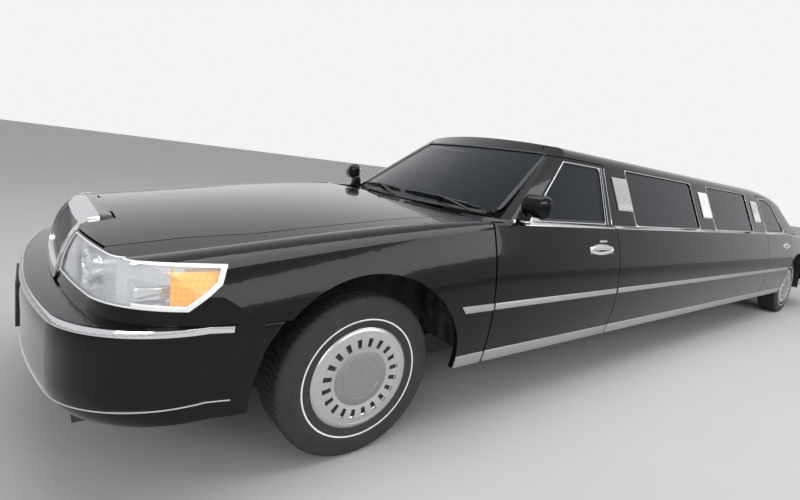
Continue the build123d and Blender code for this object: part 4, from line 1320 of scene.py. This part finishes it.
class LIMOUSINE_OT_tyres(bpy.types.Operator):
    """Tyres with ribbed tread and a thin white ring"""

    bl_idname = "limousine.tyres"
    bl_label = "Tyres"

    def execute(self, context):
        for end, station in (("front", 0.0), ("rear", WHEELBASE)):
            for label, sign in SIDES:
                self.tyre(f"{end}_tyre_{label}", sign, station)
        return {"FINISHED"}

    def tyre(self, node, sign, station):
        tread = 0.3445
        # Half of the section from the outer bead over the shoulder: distance from the middle plane, radius
        profile = [(-0.0985, 0.2055), (-0.1080, 0.225), (-0.1120, 0.255), (-0.1122, 0.275), (-0.1080, 0.308),
                   (-0.1020, 0.326), (-0.0985, 0.3335), (-0.0940, 0.3385), (-0.0880, tread - 0.002)]
        for left, right in ((-0.088, -0.062), (-0.056, -0.030), (-0.0235, 0.0)):
            profile += [(left, tread - 0.001), (right, tread)]
            if right < 0:
                profile += [(right + 0.001, tread - 0.007), (right + 0.0055, tread - 0.007)]
        section = profile + [(-x, r) for x, r in reversed(profile[:-1])]
        section += [(0.0955, 0.2048), (-0.0955, 0.2048), section[0]]
        across = Vector((sign, 0, 0))
        middle = Vector((sign * WHEEL_X, at(station), AXLE_Z))
        piece = turned("tread_" + node, middle, across, section, TYRE_STEPS)
        # Every third row of corners is a sipe, and its neighbours close up to it
        step = 2 * math.pi / TYRE_STEPS
        data = piece.data
        mesh = bmesh.from_edit_mesh(data)
        for corner in mesh.verts:
            offset = corner.co - middle
            radius = math.hypot(offset.y, offset.z)
            if radius < tread - 0.0045:
                continue
            angle = math.atan2(offset.z, offset.y)
            row = round(angle / step) + (1 if abs(offset.x) < 0.030 else 0)
            angle += (0.0, -0.72 * step, 0.72 * step)[row % 3]
            radius -= (0.0045, 0.0, 0.0)[row % 3]
            corner.co.y = middle.y + radius * math.cos(angle)
            corner.co.z = middle.z + radius * math.sin(angle)
        bmesh.update_edit_mesh(data)
        seal(piece, body_of(node), "rubber", 38)
        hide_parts(node)
        face = 0.1124
        profile = [(face - 0.003, 0.2470), (face - 0.0008, 0.2475), (face - 0.0002, 0.2505),
                   (face - 0.0006, 0.2537), (face - 0.003, 0.2542), (face - 0.003, 0.2470)]
        ring = turned("white_ring_" + node, middle, across, profile, 120)
        seal(ring, body_of(node), "white_rubber", 50)
        profile = [(0.1095, 0.2860), (0.1118, 0.2875), (0.1112, 0.2900), (0.1085, 0.2960), (0.1100, 0.3000),
                   (0.1085, 0.3035), (0.1060, 0.3030), (0.1060, 0.2860), (0.1095, 0.2860)]
        rib = turned("sidewall_ribs_" + node, middle, across, profile, 120)
        seal(rib, body_of(node), "rubber", 50)


class LIMOUSINE_OT_wheel_discs(bpy.types.Operator):
    """Centre discs, rim edges and rings of openings of the wheel covers"""

    bl_idname = "limousine.wheel_discs"
    bl_label = "Wheel discs"

    def execute(self, context):
        cover = 0.9055
        for end, station in (("front", 0.0), ("rear", WHEELBASE)):
            for label, sign in SIDES:
                node = f"{end}_wheel_{label}"
                middle = Vector((0, at(station), AXLE_Z))
                across = Vector((sign, 0, 0))
                face = cover + 0.0100
                profile = [(face, 0.0), (face + 0.0016, 0.0), (face + 0.0014, 0.040),
                           (face + 0.0010, 0.0835), (face + 0.0002, 0.0840), (face + 0.0002, 0.0858),
                           (face + 0.0010, 0.0864), (face + 0.0006, 0.1120), (face - 0.0010, 0.1165),
                           (face - 0.0030, 0.1175), (face - 0.0030, 0.0)]
                disc = turned("disc_" + node, middle, across, profile, 96)
                seal(disc, body_of(node), "disc", 40)
                edge = turned("edge_" + node, middle, across,
                              [(cover + 0.0045, 0.2150), (cover + 0.0065, 0.2135), (cover + 0.0135, 0.1975),
                               (cover + 0.0125, 0.1935), (cover + 0.0100, 0.1925), (cover + 0.0100, 0.1950),
                               (cover + 0.0045, 0.2150)], 96)
                seal(edge, body_of(node), "silver", 50)
                self.vanes(node, sign, middle, across, cover)
        return {"FINISHED"}

    def vanes(self, node, sign, middle, across, cover):
        """The ring of cooling openings: a silver face with openings cut through, and behind them a black ring as
        painted shade.
        """
        openings = 20
        # Columns of one opening's share of the ring. The face between the third and fourth is cut
        parts = (0.0, 0.27, 0.30, 0.70, 0.73)
        count = len(parts)
        # Columns: radius, height over the cover
        rows = ((0.1150, 0.0070), (0.1310, 0.0095), (0.1335, 0.0105), (0.1720, 0.0130), (0.1750, 0.0130),
                (0.1940, 0.0115))
        columns = openings * count
        piece = start("vanes_" + node, "grid", x_subdivisions=columns, y_subdivisions=len(rows) - 1, size=2)

        def spot(place):
            column = round((place.x + 1) / 2 * columns)
            return column, round((place.y + 1) / 2 * (len(rows) - 1))

        pick("FACE", lambda place, normal: int((place.x + 1) / 2 * columns) % count == 2
             and int((place.y + 1) / 2 * (len(rows) - 1)) == 2)
        bpy.ops.mesh.delete(type="FACE")

        def place_of(index, place):
            column, row = spot(place)
            turn = 2 * math.pi * (column // count + parts[column % count]) / openings
            radius, lift = rows[row]
            y, z = middle.y + radius * math.cos(turn), middle.z + radius * math.sin(turn)
            return Vector((sign * (cover + lift), y, z))

        move_corners(place_of)
        bpy.ops.mesh.select_all(action="SELECT")
        bpy.ops.mesh.remove_doubles(threshold=MERGE_DISTANCE)
        face_outward(sign)
        thicken(piece, 0.0060, -1.0)
        seal(piece, body_of(node), "silver", 30)
        # A black ring under the openings is painted shade: it stands for the dark inside the wheel behind them.
        profile = [(cover + 0.0015, 0.120), (cover + 0.0030, 0.120), (cover + 0.0030, 0.190),
                   (cover + 0.0015, 0.190), (cover + 0.0015, 0.120)]
        back = turned("vane_back_" + node, middle, across, profile, 60)
        seal(back, body_of(node), "seal", 50)


# Twice the windscreen's radius seen from above: at a width x its foot lies x squared over this further back
SCREEN_CURVE = 2 * 2.670


def touch(node, x, station, lift=0.0):
    """The point on top of a solid at a width and a station, lifted off its surface."""
    hit, place, normal, index = frame["nodes"][node].ray_cast(Vector((x, at(station), 3)), Vector((0, 0, -1)))
    if not hit:
        raise RuntimeError(f"nothing of {node} at {x}, {station}")
    return place + normal * lift


class LIMOUSINE_OT_wipers(bpy.types.Operator):
    """Wipers and the inside mirror"""

    bl_idname = "limousine.wipers"
    bl_label = "Wipers"

    def execute(self, context):
        # Columns: name, blade's inner and outer end, arm's pivot
        rows = (("driver", (0.020, 0.725), (0.610, 0.750), (0.640, 0.715)),
                ("passenger", (-0.610, 0.750), (-0.040, 0.725), (0.010, 0.655)))
        for name, inner, outer, pivot in rows:
            blade = []
            for index in range(9):
                share = index / 8
                x = inner[0] + (outer[0] - inner[0]) * share
                station = inner[1] + (outer[1] - inner[1]) * share + x ** 2 / SCREEN_CURVE
                blade.append(touch("windscreen", x, station, 0.0015))
            outward = (0, -0.56, 0.83)
            piece = rail(f"wiper_blade_{name}", blade, 0.007, 0.012, outward, 0.0015)
            seal(piece, "body", "seal")
            spine = [place + Vector(outward) * 0.012 for place in blade[1:-1]]
            piece = rail(f"wiper_frame_{name}", spine, 0.011, 0.004, outward, 0.001)
            seal(piece, "body", "seal")
            foot = Vector((pivot[0], at(pivot[1]), 1.034))
            middle = blade[4] + Vector(outward) * 0.020
            arm = [foot, foot + (middle - foot) * 0.35 + Vector(outward) * 0.004, middle]
            piece = rail(f"wiper_arm_{name}", arm, 0.013, 0.007, outward, 0.002)
            seal(piece, "body", "seal")
        piece = block("inside_mirror", (-0.125, at(1.225), 1.285), (0.125, at(1.250), 1.345), 0.012, 3)
        pick("VERT", lambda place, normal: abs(place.x) > 0.09)
        bpy.ops.transform.resize(value=(1, 1, 0.82), center_override=(0, at(1.237), 1.315))
        seal(piece, "body", "seal")
        points = [(0, at(1.237), 1.340), (0, at(1.205), 1.392)]
        stem = rail("inside_mirror_stem", points, 0.018, 0.012, (0, -1, 0), 0.003)
        seal(stem, "body", "seal")
        return {"FINISHED"}


class LIMOUSINE_OT_cabin(bpy.types.Operator):
    """Padding of the seats, the steering wheel's rim, dials, carpet, headliner and what stands on the bar"""

    bl_idname = "limousine.cabin"
    bl_label = "Cabin"

    def execute(self, context):
        self.front_seats()
        self.benches()
        self.helm()
        self.dash()
        self.linings()
        self.bar()
        return {"FINISHED"}

    def cushion(self, name, low, high, puff):
        """A padded block: rounded, with a crown on its large faces."""
        low, high = Vector(low), Vector(high)
        middle, half = (low + high) / 2, (high - low) / 2
        # The crown rises on the two faces across the thinnest way
        thin = min(range(3), key=lambda axis: half[axis])
        piece = start(name, "cube", size=1, location=middle, scale=high - low)
        bpy.ops.mesh.select_all(action="SELECT")
        bpy.ops.mesh.subdivide(number_cuts=9)
        wide = [axis for axis in range(3) if axis != thin]

        def swell(index, place):
            share = place - middle
            crown = 1.0
            for axis in wide:
                crown *= 1 - abs(share[axis] / half[axis]) ** 4
            moved = place.copy()
            moved[thin] += puff * crown * (1 if share[thin] > 0 else -1 if share[thin] < 0 else 0)
            for axis in wide:
                edge = abs(share[axis] / half[axis])
                moved[axis] -= 0.012 * edge ** 8 * (1 if share[axis] > 0 else -1)
            return moved

        move_corners(swell)
        smooth = piece.modifiers.new("round", "SUBSURF")
        smooth.levels = smooth.render_levels = 1
        return seal(piece, "body", "leather", 60)

    def front_seats(self):
        # Columns: name, half width, front, foot, rear, head, crown
        rows = (("cushion", 0.258, 1.222, 0.520, 1.720, 0.612, 0.020),
                ("back", 0.252, 1.690, 0.585, 1.790, 1.140, 0.018),
                ("headrest", 0.130, 1.730, 1.150, 1.820, 1.300, 0.014))
        for label, x in (("right", -0.390), ("left", 0.390)):
            for name, half, front, foot, rear, head, puff in rows:
                low, high = (x - half, at(front), foot), (x + half, at(rear), head)
                self.cushion(f"front_{name}_{label}", low, high, puff)
            for number, step in enumerate((-0.05, 0.05)):
                post = turned(f"headrest_post_{label}_{number + 1}", (x + step, at(1.775), 1.110), (0, 0, 1),
                              [(0.0, 0.006), (0.06, 0.006)], 16)
                seal(post, "body", "chrome", 60)

    def benches(self):
        # Columns: name, low corner, high corner, number of cushions, axis of their row, crown
        rows = (
            ("rear_cushion", (-0.740, 4.970, 0.560), (0.740, 5.530, 0.640), 3, 0, 0.018),
            ("rear_back", (-0.700, 5.480, 0.620), (0.700, 5.590, 1.125), 3, 0, 0.018),
            ("side_cushion", (-0.700, 2.500, 0.560), (-0.318, 4.700, 0.640), 4, 1, 0.018),
            ("side_back", (-0.770, 2.500, 0.620), (-0.665, 4.700, 1.015), 4, 1, 0.016),
        )
        for name, low, high, count, axis, puff in rows:
            span = (high[axis] - low[axis]) / count
            for index in range(count):
                first, last = list(low), list(high)
                first[axis] = low[axis] + span * index + 0.002
                last[axis] = low[axis] + span * (index + 1) - 0.002
                first[1], last[1] = at(first[1]), at(last[1])
                self.cushion(f"{name}_{index + 1}", first, last, puff)

    def helm(self):
        low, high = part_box("steering_wheel")
        middle = (Vector(low) + Vector(high)) / 2
        axis = Vector((0, math.sin(math.radians(65)), math.cos(math.radians(65))))
        turns = [2 * math.pi * step / 10 for step in range(11)]
        profile = [(0.0145 * math.sin(turn), 0.185 + 0.0160 * math.cos(turn)) for turn in turns]
        grip = turned("wheel_grip", middle, axis, profile, 48)
        seal(grip, body_of("steering_wheel"), "leather", 60)
        profile = [(0.012, 0.0), (0.030, 0.0), (0.028, 0.050), (0.022, 0.068), (0.006, 0.072), (0.006, 0.0)]
        pad = turned("wheel_pad", middle, axis, profile, 40)
        seal(pad, body_of("steering_wheel"), "plastic", 50)

    def dash(self):
        hood = block("dash_hood", (0.180, at(0.900), 0.950), (0.600, at(1.010), 1.005), 0.020, 4)
        seal(hood, "body", "plastic", 50)
        cluster = block("dial_cluster", (0.205, at(0.955), 0.850), (0.575, at(0.975), 0.945), 0.012, 3)
        seal(cluster, "body", "dial", 50)
        dial_y, dial_z = at(0.974), 0.898
        for number, (x, radius) in enumerate(((0.300, 0.036), (0.390, 0.042), (0.480, 0.036))):
            profile = [(0.0, radius), (0.004, radius), (0.004, radius - 0.003), (0.0, radius - 0.003)]
            ring = turned(f"dial_ring_{number + 1}", (x, dial_y, dial_z), (0, 1, 0), profile, 40)
            seal(ring, "body", "chrome", 50)
            needle = block(f"needle_{number + 1}", (x - 0.0015, dial_y, dial_z),
                           (x + 0.0015, at(0.977), dial_z + radius * 0.8), 0.0006, 1)
            seal(needle, "body", "white_rubber", 50)
        panel = block("centre_panel", (-0.120, at(0.955), 0.760), (0.150, at(0.972), 0.930), 0.008, 3)
        seal(panel, "body", "wood", 50)
        radio = block("radio", (-0.085, at(0.968), 0.790), (0.115, at(0.978), 0.845), 0.004, 2)
        seal(radio, "body", "dial", 50)
        for number, x in enumerate((-0.070, 0.100)):
            knob = turned(f"radio_knob_{number + 1}", (x, at(0.976), 0.818), (0, 1, 0),
                          [(0.0, 0.011), (0.012, 0.010), (0.013, 0.0)], 24)
            seal(knob, "body", "chrome", 50)
        for number, x in enumerate((-0.650, -0.085, 0.115, 0.680)):
            vent = block(f"vent_{number + 1}", (x - 0.055, at(0.956), 0.862),
                         (x + 0.055, at(0.966), 0.922), 0.006, 2)
            seal(vent, "body", "seal", 50)
            for row in range(4):
                slat = block(f"vent_{number + 1}_slat_{row + 1}", (x - 0.048, at(0.962), 0.870 + row * 0.013),
                             (x + 0.048, at(0.970), 0.873 + row * 0.013), 0.001, 1)
                seal(slat, "body", "plastic", 50)
        glove = block("glove_box", (-0.620, at(0.955), 0.760), (-0.220, at(0.966), 0.850), 0.010, 3)
        seal(glove, "body", "plastic", 50)

    def linings(self):
        carpet = block("carpet", (-0.815, at(0.705), 0.331), (0.815, at(5.480), 0.338), 0.002, 1)
        seal(carpet, "body", "carpet", 50)
        tunnel = block("tunnel_carpet", (-0.118, at(0.705), 0.330), (0.118, at(5.480), 0.420), 0.010, 3)
        seal(tunnel, "body", "carpet", 50)
        roof = skin("headliner", "roof", [], (0, 0, -1), 0.3)
        thicken(roof, 0.006, 1.0)
        seal(roof, "body", "headliner", 50)
        for label, sign in SIDES:
            for door in ("front_door", "rear_door"):
                name = f"{door}_{label}"
                panel = skin("door_panel_" + name, name, between(z=(0.400, 0.985)), (-sign, 0, 0), 0.7)
                thicken(panel, 0.010, 1.0)
                seal(panel, body_of(name), "plastic", 50)

    def bar(self):
        top_z = 0.918
        top = block("bar_top", (0.395, at(2.490), 0.900), (0.790, at(4.510), top_z), 0.005, 2)
        seal(top, "body", "wood", 50)
        edge = block("bar_edge", (0.386, at(2.490), 0.898), (0.398, at(4.510), 0.921), 0.003, 2)
        seal(edge, "body", "chrome", 50)
        profile = [(0.0, 0.0), (0.0, 0.026), (0.085, 0.034), (0.085, 0.032), (0.006, 0.024), (0.006, 0.0)]
        for number in range(6):
            foot = (0.50 + 0.10 * (number % 2), at(2.85 + 0.11 * (number // 2)), top_z)
            glass = turned(f"tumbler_{number + 1}", foot, (0, 0, 1), profile, 28)
            seal(glass, "body", "tumbler", 50)
        profile = [(0.0, 0.0), (0.0, 0.070), (0.010, 0.078), (0.150, 0.095), (0.156, 0.099), (0.156, 0.092),
                   (0.012, 0.073), (0.012, 0.0)]
        bucket = turned("ice_bucket", (0.58, at(3.55), top_z), (0, 0, 1), profile, 48)
        seal(bucket, "body", "chrome", 50)
        for number in range(4):
            begin = 2.520 + number * 0.495
            door = block(f"bar_door_{number + 1}", (0.388, at(begin), 0.380),
                         (0.401, at(begin + 0.475), 0.870), 0.004, 2)
            seal(door, "body", "wood", 50)
            knob = turned(f"bar_knob_{number + 1}", (0.388, at(begin + 0.060), 0.640), (-1, 0, 0),
                          [(0.0, 0.006), (0.012, 0.006), (0.014, 0.013), (0.022, 0.013), (0.025, 0.0)], 24)
            seal(knob, "body", "chrome", 50)


class LIMOUSINE_PT_panel(bpy.types.Panel):
    """Lists the limousine's steps"""

    bl_label = "Limousine"
    bl_idname = "LIMOUSINE_PT_panel"
    bl_space_type = "VIEW_3D"
    bl_region_type = "UI"
    bl_category = "Limousine"

    def draw(self, context):
        for settings in (context.scene.limousine_look, context.scene.limousine_view):
            for name in settings.bl_rna.properties.keys():
                if name not in {"name", "rna_type"}:
                    self.layout.prop(settings, name)
        for step in STEPS:
            self.layout.operator(step.bl_idname)


STEPS = (
    LIMOUSINE_OT_stage,
    LIMOUSINE_OT_finishes,
    LIMOUSINE_OT_brightwork,
    LIMOUSINE_OT_bumper_ends,
    LIMOUSINE_OT_nose,
    LIMOUSINE_OT_mouldings,
    LIMOUSINE_OT_seals,
    LIMOUSINE_OT_headlamps,
    LIMOUSINE_OT_handles,
    LIMOUSINE_OT_mirrors,
    LIMOUSINE_OT_light_panels,
    LIMOUSINE_OT_tyres,
    LIMOUSINE_OT_wheel_discs,
    LIMOUSINE_OT_wipers,
    LIMOUSINE_OT_cabin,
)
GROUPS = (LimousineLook, LimousineView)


def register():
    for item in GROUPS + STEPS + (LIMOUSINE_PT_panel,):
        bpy.utils.register_class(item)
    bpy.types.Scene.limousine_look = bpy.props.PointerProperty(type=LimousineLook)
    bpy.types.Scene.limousine_view = bpy.props.PointerProperty(type=LimousineView)


def unregister():
    del bpy.types.Scene.limousine_look
    del bpy.types.Scene.limousine_view
    for item in reversed(GROUPS + STEPS + (LIMOUSINE_PT_panel,)):
        bpy.utils.unregister_class(item)


def main():
    register()
    for step in STEPS:
        area, name = step.bl_idname.split(".")
        getattr(getattr(bpy.ops, area), name)()


if __name__ == "__main__":
    main()
